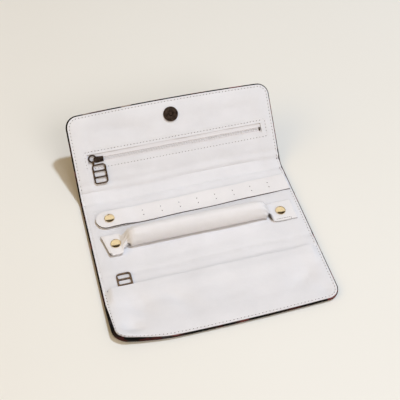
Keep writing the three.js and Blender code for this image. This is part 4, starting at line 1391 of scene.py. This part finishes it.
def softened(node, name, finish, width=0, segments=2, rounds=0, fuller=0.0):
    """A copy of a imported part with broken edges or, with rounds, subdivided and made fuller."""
    source = frame["nodes"][node]
    piece = bpy.data.objects.new(name, source.data.copy())
    bpy.context.scene.collection.objects.link(piece)
    work = bmesh.new()
    work.from_mesh(piece.data)
    bmesh.ops.remove_doubles(work, verts=work.verts, dist=CAST_MERGE)
    flat_edges = [e for e in work.edges if len(e.link_faces) == 2 and e.calc_face_angle(1) < FLAT_ANGLE]
    if not rounds:
        bmesh.ops.dissolve_edges(work, edges=flat_edges, use_verts=True)
    bmesh.ops.recalc_face_normals(work, faces=work.faces)
    work.to_mesh(piece.data)
    work.free()
    if width:
        bevelled(piece, width, segments, BEVEL_ANGLE)
    if rounds:
        finer = piece.modifiers.new("finer", "SUBSURF")
        finer.levels = finer.render_levels = rounds
    settle(piece)
    for vertex, normal in zip(piece.data.vertices, [v.normal.copy() for v in piece.data.vertices]):
        vertex.co += normal * fuller
    sharpen(piece, CRISP)
    dress(piece, finish)
    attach(piece, source["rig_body"])
    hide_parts(node)


CHARM_EDGE, SLIDER_EDGE, STOP_EDGE = 0.32 * MM, 0.14 * MM, 0.12 * MM
softened("flap_pull_ring", "flap_ring", dark_finish, rounds=2, fuller=0.35 * MM)
for zip_name in ZIPS:
    charm, slider = f"{zip_name}_pull_charm", f"{zip_name}_zip_slider"
    softened(charm, f"{zip_name}_charm", bronze_finish, CHARM_EDGE, segments=3)
    softened(slider, f"{zip_name}_slider_cast", dark_finish, SLIDER_EDGE)
    for stop in ("bottom_stop", "top_stop_far", "top_stop_near"):
        node = f"{zip_name}_zip_{stop}"
        crimp_finish = dark_finish if node == "flap_zip_bottom_stop" else teeth_finish
        softened(node, f"{zip_name}_{stop}_crimp", crimp_finish, STOP_EDGE)
print("cast parts softened")

# %% [markdown]
# Snap caps, the magnet and its plate are spun from sheet metal, so each is a profile turned about its
# axis. The profile is a short list of radii and heights, and its corners are rounded by a bevel before
# the shading.

# %% Turned parts
AROUND_TURNED = 56
CAP_EDGE = 0.12 * MM
DISC_EDGE = 0.08 * MM
CAP_RIM = 0.4 * MM
CAP_HEIGHT = 2.2 * MM
CAP_SHARE = 0.98
CAP_DOME_STEPS = 14
CAP_FULLNESS = 0.92
# The tucked rim of a cap, in millimetres: how far inside the rim's radius, and height
CAP_TUCK = [(0.7, 0.05), (0.25, 0), (0, 0.2)]
SHANK = 1.0 * MM


def turned(name, profile, centre, tilt, node, finish, width):
    """A profile of radii and heights, turned about an axis that is tilted back from upright."""
    points = []
    matrix = Matrix.Translation(centre) @ Matrix.Rotation(tilt, 4, "X")
    for angle in np.arange(AROUND_TURNED) / AROUND_TURNED * math.tau:
        points += [matrix @ Vector((r * math.cos(angle), r * math.sin(angle), h)) for r, h in profile]
    index = np.arange(len(points)).reshape(AROUND_TURNED, -1)
    piece = new_piece(name, points, grid_faces(np.vstack([index, index[:1]])))
    clean(piece)
    settle(bevelled(piece, width, 2, BEVEL_ANGLE))
    sharpen(piece, CRISP)
    dress(piece, finish)
    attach(piece, frame["nodes"][node]["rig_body"])
    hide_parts(node)


def cap_profile(radius, shank):
    """A domed cap with its rim tucked under, and the shank below it."""
    tuck = [(radius - inside * MM, up * MM) for inside, up in CAP_TUCK]
    profile = [(0, -shank), (SHANK, -shank), (SHANK, tuck[0][1]), *tuck, (radius, CAP_RIM)]
    for step in range(1, CAP_DOME_STEPS):
        angle = step / CAP_DOME_STEPS * math.pi / 2
        up = CAP_RIM + (CAP_HEIGHT - CAP_RIM) * math.sin(angle)
        profile.append((radius * math.cos(angle) ** CAP_FULLNESS, up))
    return [*profile, (0, CAP_HEIGHT)]


for node in ("strip_snap_cap", "roll_snap_cap", "roll_end_cap"):
    low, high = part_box(node)
    middle = (low + high) / 2
    base = Vector((middle.x, middle.y, high.z - CAP_HEIGHT))
    profile = cap_profile((high.x - low.x) / 2 * CAP_SHARE, base.z - low.z)
    turned(f"{node}_dome", profile, base, 0, node, gold_finish, CAP_EDGE)
print("snap caps turned")

# %% [markdown]
# The magnetic snap is two pressed discs, one with a well and one with a knob in its middle, so their
# profiles are lists of real radii and heights. Sockets, studs, washers and the rivet are covered while
# the pouch lies as photographed, so they stay as imported and only get their metal.

# %% The magnetic snap, and the parts that stay hidden
SNAP_FROM_EDGE = 15 * MM
# Radius and height of each corner of the two discs, in millimetres
MAGNET_PROFILE = [
    (0, -1.5), (2.5, -1.5), (2.5, 0.25), (6.6, 0.25), (7.0, 0.5), (7.0, 1.25), (6.75, 1.7), (6.2, 1.92),
    (5.7, 1.9), (5.3, 1.72), (5.0, 1.78), (4.75, 2.2), (4.4, 2.3), (2.9, 2.3), (2.5, 2.1), (2.4, 1.1),
    (1.6, 1.05), (1.35, 1.2), (1.1, 1.75), (0.7, 1.95), (0, 2.0),
]
PLATE_PROFILE = [
    (0, 0.1), (1.4, 0.1), (1.75, 0.3), (1.8, 0.85), (6.4, 0.85), (6.9, 1.0), (7.0, 1.3), (6.8, 1.5),
    (2.5, 1.5), (2.5, 2.25), (0, 2.25),
]
plate_low, plate_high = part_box("snap_plate")
plate_middle = (plate_low + plate_high) / 2
plate_at = Vector((plate_middle.x, plate_middle.y, 0))
magnet_at = Vector(on_line(flap_edge - SNAP_FROM_EDGE))
for name, corners, spot, tilt, node in (
    ("magnet_disc", MAGNET_PROFILE, magnet_at, rise, "snap_magnet"),
    ("snap_plate_disc", PLATE_PROFILE, plate_at, 0, "snap_plate"),
):
    profile = [(r * MM, h * MM) for r, h in corners]
    turned(name, profile, spot, tilt, node, dark_finish, DISC_EDGE)
HIDDEN_PARTS = {
    "cap_metal": ["strip_snap_socket", "strip_snap_stud", "roll_snap_socket", "roll_snap_stud"],
    "zip_metal": ["snap_magnet_washer", "snap_plate_washer", "roll_end_rivet"],
}
for slot_name, nodes in HIDDEN_PARTS.items():
    for node in nodes:
        dress(frame["nodes"][node], steel_finish)
print("metal parts made")

# %% [markdown]
# The earring strip is a band of the same napped cloth, sewn down at the right and snapped at the left.
# Near its free end it climbs over the snap. It is a narrow grid that ends in a half circle, and the holes
# for the earring posts are cut with a boolean before its edges are rounded. Its side faces get painted
# shade, which stands for the dark shadow line under its edges, so an attribute marks where a piece's side
# faces are.

# %% Earring strip
EDGE_STEEP = 0.8
STRIP_HALF = 9.5 * MM
STRIP_WALL = 1.4 * MM
SEAT = surface + 0.3 * MM
SNAP_LIFT = 1.9 * MM
STRIP_SEWN = 6.4 * MM
STRIP_SHORT = 0.12 * MM
STRIP_CROWN = 0.22 * MM
STRIP_WAVE = 0.25 * MM
STRIP_WAVE_LENGTH = 17 * MM
STRIP_WAVE_START = 0.6
STRIP_WAVE_FROM = (5 * MM, 25 * MM)
STRIP_SWAY = 0.25 * MM
STRIP_SWAY_LENGTH = 9 * MM
STRIP_SWAY_FROM = (10 * MM, 40 * MM)
STRIP_STEP = 2 * MM
STRIP_END_STEPS = 12
STRIP_LINES = 13
RAMP = 16 * MM
RAMP_FROM_END = 23 * MM
hinge_at = Vector(joints["earring_strip_open"]["pos_m"])
strip_axis = Vector(joints["earring_strip_open"]["axis"])
skew = math.atan2(strip_axis.x, -strip_axis.y)
strip_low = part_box("earring_strip")[0]
strip_length = (hinge_at.x - strip_low.x) / math.cos(skew) - STRIP_SHORT
RAMP_END = strip_length - RAMP_FROM_END


def paint_edge_shade(piece, chosen):
    """Writes how much painted shade each point of a piece has, from its place and its normal."""
    attribute = piece.data.attributes.new("cut_edge", "FLOAT", "POINT")
    paint = [float(chosen(vertex.co, vertex.normal)) for vertex in piece.data.vertices]
    attribute.data.foreach_set("value", paint)


def on_side(spot, normal):
    return abs(normal.z) < EDGE_STEEP


def bend_at(piece):
    """Bakes the placement of a piece that is sewn to the middle panel into its mesh."""
    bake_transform(piece)


def strip_place(u, v, up):
    """u runs from the sewn end to the free end, v across towards the flap, up from the strip's foot."""
    climb = SNAP_LIFT * fade(u, RAMP_END - RAMP, RAMP_END)
    wave = STRIP_WAVE * np.sin(u / STRIP_WAVE_LENGTH + STRIP_WAVE_START) * fade(u, *STRIP_WAVE_FROM)
    crown = STRIP_CROWN * (1 - (v / STRIP_HALF) ** 2)
    x = hinge_at.x - u * math.cos(skew) - v * math.sin(skew)
    y = hinge_at.y - u * math.sin(skew) + v * math.cos(skew)
    return np.stack([x, y, SEAT + climb + up + np.maximum(wave, 0) + crown], -1)


def strip_outline(u):
    """Half the strip's width, which closes in a half circle at the free end."""
    beyond = np.clip((u - (strip_length - STRIP_HALF)) / STRIP_HALF, 0, 1)
    return STRIP_HALF * np.sqrt(1 - beyond**2)


straight = np.arange(-STRIP_SEWN, strip_length - STRIP_HALF, STRIP_STEP)
quarter = np.linspace(0, math.pi / 2, STRIP_END_STEPS)
u_lines = np.concatenate([straight, strip_length - STRIP_HALF + STRIP_HALF * np.sin(quarter)])
u, v = np.meshgrid(u_lines, np.linspace(-1, 1, STRIP_LINES), indexing="ij")
sway = STRIP_SWAY * np.sin(u / STRIP_SWAY_LENGTH) * v * fade(u, *STRIP_SWAY_FROM)
half = strip_outline(u)
v = v * half + sway * (half > STRIP_HALF / 2)
strip_faces = grid_faces(np.arange(u.size).reshape(u.shape))
strip_flat = np.stack([u.ravel(), v.ravel()], -1)
strip = new_piece("earring_band", strip_place(u, v, STRIP_WALL).reshape(-1, 3), strip_faces, strip_flat)
clean(strip, toward=UPWARD)
thicken(strip, STRIP_WALL)
print("strip", len(strip.data.vertices), "points")

# %% [markdown]
# Earrings hang in pairs, so the holes come in pairs along the level stretch of the band. Short cylinders
# cut all of them in one boolean, and a bevel rounds them with the band's other edges.

# %% Holes for earring posts
HOLE_SPACING = 5.4 * MM
HOLE_RADIUS = 0.5 * MM
HOLE_SIDES = 14
DRILL_DEPTH = 8 * MM
PAIR_PITCH = 17.3 * MM
FIRST_PAIR = 12 * MM
STRIP_EDGE = 0.35 * MM
STRIP_EDGE_ANGLE = math.radians(55)
drills = bmesh.new()
for pair in np.arange(FIRST_PAIR, RAMP_END - RAMP, PAIR_PITCH):
    for side in (-1, 1):
        spot = Vector(strip_place(pair, side * HOLE_SPACING / 2, 0.0))
        bmesh.ops.create_cone(
            drills, cap_ends=True, segments=HOLE_SIDES, radius1=HOLE_RADIUS, radius2=HOLE_RADIUS,
            depth=DRILL_DEPTH, matrix=Matrix.Translation(spot),
        )
drill_mesh = bpy.data.meshes.new("drills")
drills.to_mesh(drill_mesh)
drills.free()
drill = bpy.data.objects.new("drills", drill_mesh)
bpy.context.scene.collection.objects.link(drill)
holes = strip.modifiers.new("holes", "BOOLEAN")
holes.object = drill
holes.operation = "DIFFERENCE"
settle(strip)
bpy.data.objects.remove(drill)
settle(bevelled(strip, STRIP_EDGE, 3, STRIP_EDGE_ANGLE))
sharpen(strip, CRISP)
# Painted shade on the band's side faces, for the shadow line under its edges
paint_edge_shade(strip, on_side)
dress(strip, strip_finish)
bend_at(strip)
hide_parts("earring_strip", "earring_strip_end")
print("strip", round(strip_length / MM, 1), "mm long")

# %% [markdown]
# The ring roll is a tube of the napped cloth filled with foam. At its left it is gathered into a flat tab
# that snaps down, and at its right it drops into a second tab that is sewn to the panel. It is one skin
# through rings whose shape changes by rule: a flat oblong on the tabs, an oval in the necks and a round
# body between, flatter below, where it lies on the pad, than above.

# %% Shape of the ring roll
roll_hinge = Vector(joints["ring_roll_open"]["pos_m"])
roll_y = roll_hinge.y
roll_low, roll_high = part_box("ring_roll_cover")
roll_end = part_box("ring_roll_end")[1].x
ROLL_RADIUS = (roll_high.z - SEAT) / 2
ROLL_AXIS = SEAT + ROLL_RADIUS
ROLL_REST = surface + 0.25 * MM
TAB_HALF = 11.5 * MM
TAB_THICK = 0.75 * MM
TAB_ROUND = 0.4 * MM
TAB_LIFT = SEAT + SNAP_LIFT + TAB_THICK
END_LIFT = SEAT + TAB_THICK
NECK_LEFT = -70.8 * MM
BODY_LEFT = -63.2 * MM
BODY_RIGHT = 60 * MM
TAB_SKEW = 2.45 * MM
ROLL_HALF = 8.2 * MM
ROLL_SHIFT = 1.4 * MM
ROLL_SINK = 1.3 * MM
ROLL_DROP = 2.3 * MM
ROLL_UPPER, ROLL_LOWER = 1.46, 0.57
ROLL_NEAR, ROLL_FAR = 0.93, 1.04
AROUND = 72
SECTION_STEPS = 720
EASE_FROM, EASE_TIMES, EASE_SHARE = 4, 6, 0.25
# Where the spacing of the rings changes, and how many rings lie between there and the next place
RING_STRETCHES = [
    (roll_low.x, 8), (NECK_LEFT - 2 * MM, 35), (BODY_LEFT + 4 * MM, 61), (BODY_RIGHT - 4 * MM, 39),
    (roll_hinge.x + 5 * MM, 9),
]
# Deep folds where the roll is gathered, in millimetres: place and reach, then the shares drawn in on the
# near side, the far side and the top
GATHERS = [(-66.8, 2.4, 0.42, 0.04, 0.25), (-69.6, 1.3, 0.25, 0.15, 0.2), (64.4, 1.4, 0.66, 0.05, 0.25)]
# Small folds round the roll: share of the radius, number round it, and where they begin
FOLDS = [(0.08, 9, 0.7), (0.05, 16, 2.1)]
PUFFS = [(0.016, 9, 0.7)]
# Where folds and puffs are, in millimetres: place, reach and strength
FOLDED = [(-68.5, 3.4, 1.0), (64.0, 3.4, 0.9)]
PUFFED = [(-60, 9, 1.0), (57, 8, 1.0)]
DRIFT = 0.012
DRIFT_LENGTH = 19 * MM
DRIFT_HALF = 62 * MM


def stations():
    """Places along the roll: half its width and height there, the height of its middle, and squareness."""
    wide, high, mid_z = ROLL_HALF, ROLL_RADIUS * 0.98, ROLL_AXIS - ROLL_SINK
    return np.array([
        (roll_low.x, TAB_HALF - TAB_ROUND, 0.35 * MM, TAB_LIFT, 0.3),
        (roll_low.x + TAB_ROUND, TAB_HALF, TAB_THICK, TAB_LIFT, 0.3),
        (-73 * MM, TAB_HALF - 0.1 * MM, TAB_THICK, TAB_LIFT, 0.3),
        (-71.4 * MM, TAB_HALF - 0.9 * MM, 1.1 * MM, TAB_LIFT + 0.2 * MM, 0.4),
        (-70.2 * MM, 9.2 * MM, 1.9 * MM, TAB_LIFT + 0.8 * MM, 0.6),
        (-69.0 * MM, 8.5 * MM, 2.8 * MM, TAB_LIFT + 1.5 * MM, 0.75),
        (-67.6 * MM, 8.0 * MM, 4.2 * MM, mid_z - 3.1 * MM, 0.85),
        (-66.0 * MM, 7.8 * MM, 5.7 * MM, mid_z - 2.0 * MM, 0.92),
        (-64.0 * MM, 8.0 * MM, 7.0 * MM, mid_z - 1.1 * MM, 0.96),
        (-61.5 * MM, 8.2 * MM, 7.8 * MM, mid_z - 0.4 * MM, 1.0),
        (-57.5 * MM, wide, high, mid_z, 1.0),
        (-30 * MM, wide, high, mid_z, 1.0),
        (0 * MM, wide * 0.985, high * 0.985, mid_z - 0.1 * MM, 1.0),
        (30 * MM, wide, high, mid_z, 1.0),
        (BODY_RIGHT - 4 * MM, wide, high * 0.98, mid_z - 0.15 * MM, 1.0),
        (BODY_RIGHT, wide * 0.98, high * 0.9, mid_z - 0.9 * MM, 0.97),
        (BODY_RIGHT + 2.6 * MM, 7.7 * MM, 6.4 * MM, mid_z - 2.4 * MM, 0.92),
        (BODY_RIGHT + 4.2 * MM, 7.9 * MM, 3.9 * MM, END_LIFT + 2.9 * MM, 0.8),
        (BODY_RIGHT + 5.6 * MM, 8.9 * MM, 2.2 * MM, END_LIFT + 1.4 * MM, 0.6),
        (roll_hinge.x - 1.2 * MM, 10.2 * MM, 1.2 * MM, END_LIFT + 0.45 * MM, 0.4),
        (roll_hinge.x + 1.0 * MM, 11.0 * MM, TAB_THICK, END_LIFT, 0.32),
        (roll_hinge.x + 4 * MM, TAB_HALF - 0.1 * MM, TAB_THICK, END_LIFT, 0.3),
        (78 * MM, TAB_HALF, TAB_THICK, END_LIFT, 0.3),
        (roll_end - TAB_ROUND, TAB_HALF, TAB_THICK, END_LIFT, 0.3),
        (roll_end, TAB_HALF - TAB_ROUND, 0.35 * MM, END_LIFT, 0.3),
    ])


def ring_section(half_wide, half_high, square):
    """Evenly spaced points round a rounded oblong, from its far side."""
    angle = np.linspace(0, math.tau, SECTION_STEPS + 1)
    y = half_wide * np.sign(np.cos(angle)) * np.abs(np.cos(angle)) ** square
    z = half_high * np.sign(np.sin(angle)) * np.abs(np.sin(angle)) ** square
    run = np.concatenate([[0], np.cumsum(np.hypot(np.diff(y), np.diff(z)))])
    steps = np.linspace(0, run[-1], AROUND + 1)[:-1]
    return np.interp(steps, run, y), np.interp(steps, run, z)


def roll_lines():
    """The places of the rings, and the four measures of a station at each, eased between the tabs."""
    table = stations()
    first_end, last_end = roll_low.x + TAB_ROUND, roll_end - TAB_ROUND
    stops = [place_x for place_x, _count in RING_STRETCHES[1:]] + [last_end]
    stretches = [
        np.linspace(begin, stop, count, endpoint=False)
        for (begin, count), stop in zip(RING_STRETCHES, stops)
    ]
    ring_x = np.concatenate([*stretches, [last_end, roll_end]])
    ring_x[1] = first_end
    lines = [np.interp(ring_x, table[:, 0], table[:, i]) for i in range(1, 5)]
    for _ in range(EASE_TIMES):
        for line in lines:
            line[EASE_FROM:-EASE_FROM] += EASE_SHARE * np.diff(line, 2)[EASE_FROM - 1:1 - EASE_FROM]
    return ring_x, lines


theta = np.arange(AROUND) / AROUND * math.tau


def waves_round(waves, places, x):
    """How much a ring grows all round, from waves that are strong only near some places."""
    strength = sum(share * bump(x / MM - centre, reach) for centre, reach, share in places)
    return strength * sum(deep * np.sin(count * theta + begin) for deep, count, begin in waves)


def roll_ring(x, wide, high, middle, square):
    """The points of one ring, with its folds."""
    y, z = ring_section(wide, high, square)
    drift = DRIFT * np.sin(2 * theta + x / DRIFT_LENGTH) * (abs(x) < DRIFT_HALF)
    grow = 1 + waves_round(FOLDS, FOLDED, x) + waves_round(PUFFS, PUFFED, x) + drift
    y, z = y * grow, z * grow
    in_body = fade(x, NECK_LEFT, BODY_LEFT) * fade(-x, -roll_hinge.x, -BODY_RIGHT)
    y = y * (1 + in_body * (np.where(y > 0, ROLL_FAR, ROLL_NEAR) - 1))
    z = z * (1 + in_body * (np.where(z > 0, ROLL_UPPER, ROLL_LOWER) - 1))
    for centre, reach, near, far, top in GATHERS:
        drawn = bump(x / MM - centre, reach)
        y = y * (1 - drawn * np.where(y < 0, near, far))
        z = z * (1 - drawn * top * fade(-y, -ROLL_HALF / 2, ROLL_HALF / 2))
    end_share = np.clip((NECK_LEFT - x) / (NECK_LEFT - roll_low.x), 0, 1)
    skewed = x + TAB_SKEW * end_share * (1 - y / TAB_HALF)
    ring_z = np.maximum(middle - in_body * ROLL_DROP + z, ROLL_REST)
    return np.stack([skewed, roll_y + y + ROLL_SHIFT * in_body, ring_z], -1)


print("roll radius", round(ROLL_RADIUS / MM, 2), "mm")

# %% [markdown]
# The rings are joined into one closed skin. Some shade can't come from its shape, so it is painted
# through the same attribute as the strip's edges: painted shadow lines along the edges of the two tabs,
# and painted shade in the deep folds beside the gathers, where little light reaches.

# %% Ring roll
ROLL_SHARP = 70
# Where shade is painted on the roll: along the left tab's end, and in its folds within these places and
# reaches
END_SHADE_WIDTH = 0.3 * MM
TAB_EDGE_SHADE = 0.45
NEAR_FACING = -0.5
LEFT_FOLD, LEFT_FOLD_REACH = -64.9 * MM, 1.5 * MM
RIGHT_FOLD, RIGHT_FOLD_REACH = 64.9 * MM, 2.0 * MM
RIGHT_FOLD_SHADE = 1.4
FOLDS_FROM_AXIS = 2.5 * MM
LEFT_FOLD_FROM_AXIS = 3.5 * MM
FOLDS_TOP = surface + 6.5 * MM

roll_x, roll_measures = roll_lines()
rings = [roll_ring(*ring) for ring in zip(roll_x, *roll_measures)]
index = np.arange(len(rings) * AROUND).reshape(len(rings), AROUND)
roll_faces = grid_faces(np.hstack([index, index[:, :1]])).tolist()
roll_faces += [index[0].tolist(), index[-1][::-1].tolist()]
roll_flat = np.column_stack([np.repeat(roll_x, AROUND), np.tile(theta * ROLL_RADIUS, len(rings))])
roll = new_piece("ring_roll", np.concatenate(rings), roll_faces, roll_flat)
clean(roll)
sharpen(roll, ROLL_SHARP)


def shade_on_roll(spot, normal):
    """Painted shade along the left tab's end and the right tab's near edge, and in the two deep folds on the
    near side.
    """
    if spot.x < NECK_LEFT:
        shaded_end = roll_low.x + TAB_SKEW * (1 - (spot.y - roll_y) / TAB_HALF)
        return spot.x < shaded_end + END_SHADE_WIDTH
    if spot.x > roll_hinge.x:
        return TAB_EDGE_SHADE * (normal.y < NEAR_FACING)
    near = spot.y < roll_y - FOLDS_FROM_AXIS and spot.z < FOLDS_TOP
    left = bump(spot.x - LEFT_FOLD, LEFT_FOLD_REACH) * (spot.y < roll_y - LEFT_FOLD_FROM_AXIS)
    right = min(1.0, RIGHT_FOLD_SHADE * bump(spot.x - RIGHT_FOLD, RIGHT_FOLD_REACH))
    return near * max(left, right)


paint_edge_shade(roll, shade_on_roll)
dress(roll, strip_finish)
bend_at(roll)
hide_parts("ring_roll_cover", "ring_roll_filling", "ring_roll_end")
print("roll", len(rings), "rings")

# %% [markdown]
# A line of dark thread shows on the right tab. It is sewn by the seam tree with the values of the zip
# binding, in a thicker thread, along a short line through four points.

# %% Dark thread on the right tab
TAB_SEAM_STEP = 0.5 * MM
# Place along the roll and distance from the tab's near edge, in millimetres
TAB_SEAM = [(71, 2.7), (83.2, 2.5), (84.6, 1.5), (84.0, 0.5)]
line = dense([(x * MM, roll_y - TAB_HALF + y * MM) for x, y in TAB_SEAM], TAB_SEAM_STEP)
line = np.column_stack([line, np.full(len(line), END_LIFT + TAB_THICK)])
tab_seam = path_piece("roll_tab_seam", line, np.tile(UPWARD, (len(line), 1)))
run_tree(tab_seam, seam_tree, {**BINDING_VALUES, "Thread": 0.5 * MM, "Thread Finish": seam_line_finish})
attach(tab_seam, "middle_panel")
print("tab thread sewn")

# %% [markdown]
# The floor is one warm pale plane. A small cool lamp high on the right throws the sharp shadow beside the
# flap. A wide softbox in front, a warm card at the left and a dim warm sky fill that shadow, and where
# all of them fall they add up to nearly white. The metal doesn't reflect the lamps. It and the camera see
# a room in place of the sky, dark on the camera's side and near the horizon, so that the metal has
# something to reflect.

# %% Floor
FLOOR_HALF = 3.0
FLOOR_ROUGH = 0.9
FLOOR_SHINE = 0.1
FLOOR_PATCHES = 3.0
FLOOR_TINTS = ((0.845, 0.815, 0.745), (0.86, 0.835, 0.77))
floor_mesh = bpy.data.meshes.new("floor")
floor_corners = [(x * FLOOR_HALF, y * FLOOR_HALF, 0) for x, y in ((-1, -1), (1, -1), (1, 1), (-1, 1))]
floor_mesh.from_pydata(floor_corners, [], [(0, 1, 2, 3)])
floor = bpy.data.objects.new("floor", floor_mesh)
bpy.context.scene.collection.objects.link(floor)
floor_finish, tree, shader = new_finish("paper_floor", rough=FLOOR_ROUGH)
shader.inputs["Specular IOR Level"].default_value = FLOOR_SHINE
where = add(tree, "ShaderNodeTexCoord").outputs["Object"]
soft = noise_at(tree, where, FLOOR_PATCHES, detail=2, rough=0.5)
tint = blend_colour(tree, spread(tree, soft, 0.3, 0.7), *FLOOR_TINTS)
wire(tree, tint, shader.inputs["Base Color"])
floor_mesh.materials.append(floor_finish)
print("floor", 2 * FLOOR_HALF, "m wide")

# %% [markdown]
# A lamp's power is worked out from the light that it gives to a level surface, so it can be moved without
# making the table brighter. The sky is mixed by direction, and a Light Path node shows the camera and the
# reflections another sky than the one that lights the pouch.

# %% Light
LAMP_LIGHT = (0.39, 0.46, 0.56)
FRONT_LIGHT = (0.20, 0.195, 0.195)
LEFT_LIGHT = (0.14, 0.095, 0.035)
SKY_LIGHT = (0.29, 0.25, 0.20)
SKY_GAIN = 1.12
SKY_SHOWN = (0.86, 0.83, 0.76)
HORIZON_SHOWN = (0.07, 0.06, 0.05)
ROOM_SHOWN = (0.05, 0.04, 0.03)
# How high above the horizon, or how far back, a direction is where one colour of the sky passes into
# another
LIT_RISE = (0.0, 0.5)
SHOWN_RISE = (0.1, 0.45)
ROOM_DEPTH = (0.02, 0.18)
HORIZON_SHARE = 0.4


def studio_lamp(name, turned_by, height, away, size, light):
    """A round lamp aimed at the pouch. Its light is the share that it gives to a level surface."""
    turned_by, height = math.radians(turned_by), math.radians(height)
    data = bpy.data.lights.new(name, "AREA")
    data.shape = "DISK"
    data.size = size
    data.color = light
    data.energy = math.pi**2 * away**2 / math.sin(height)
    lamp = bpy.data.objects.new(name, data)
    bpy.context.scene.collection.objects.link(lamp)
    across = math.cos(height)
    toward = Vector((across * math.sin(turned_by), -across * math.cos(turned_by), math.sin(height)))
    lamp.visible_glossy = False
    lamp.location = toward * away
    lamp.rotation_euler = toward.to_track_quat("Z", "Y").to_euler()


studio_lamp("key_lamp", turned_by=72, height=73.5, away=2.4, size=0.18, light=LAMP_LIGHT)
studio_lamp("front_softbox", turned_by=20, height=40, away=2.6, size=1.4, light=FRONT_LIGHT)
studio_lamp("left_card", turned_by=-80, height=40, away=2.4, size=1.8, light=LEFT_LIGHT)

world = bpy.data.worlds.new("studio")
bpy.context.scene.world = world
world.use_nodes = True
tree = world.node_tree
background = tree.nodes["Background"]
direction = add(tree, "ShaderNodeTexCoord").outputs["Generated"]
parts = add(tree, "ShaderNodeSeparateXYZ")
wire(tree, direction, parts.inputs[0])
horizon = tuple(part * HORIZON_SHARE for part in SKY_LIGHT)
lit = blend_colour(tree, spread(tree, parts.outputs["Z"], *LIT_RISE), horizon, SKY_LIGHT)
shown = blend_colour(tree, spread(tree, parts.outputs["Z"], *SHOWN_RISE), HORIZON_SHOWN, SKY_SHOWN)
shown = blend_colour(tree, spread(tree, parts.outputs["Y"], *ROOM_DEPTH), ROOM_SHOWN, shown)
ray = add(tree, "ShaderNodeLightPath")
seen = sum_of(tree, ray.outputs["Is Camera Ray"], ray.outputs["Is Glossy Ray"], "MAXIMUM")
wire(tree, blend_colour(tree, seen, lit, shown), background.inputs["Color"])
background.inputs["Strength"].default_value = SKY_GAIN
print("light set")
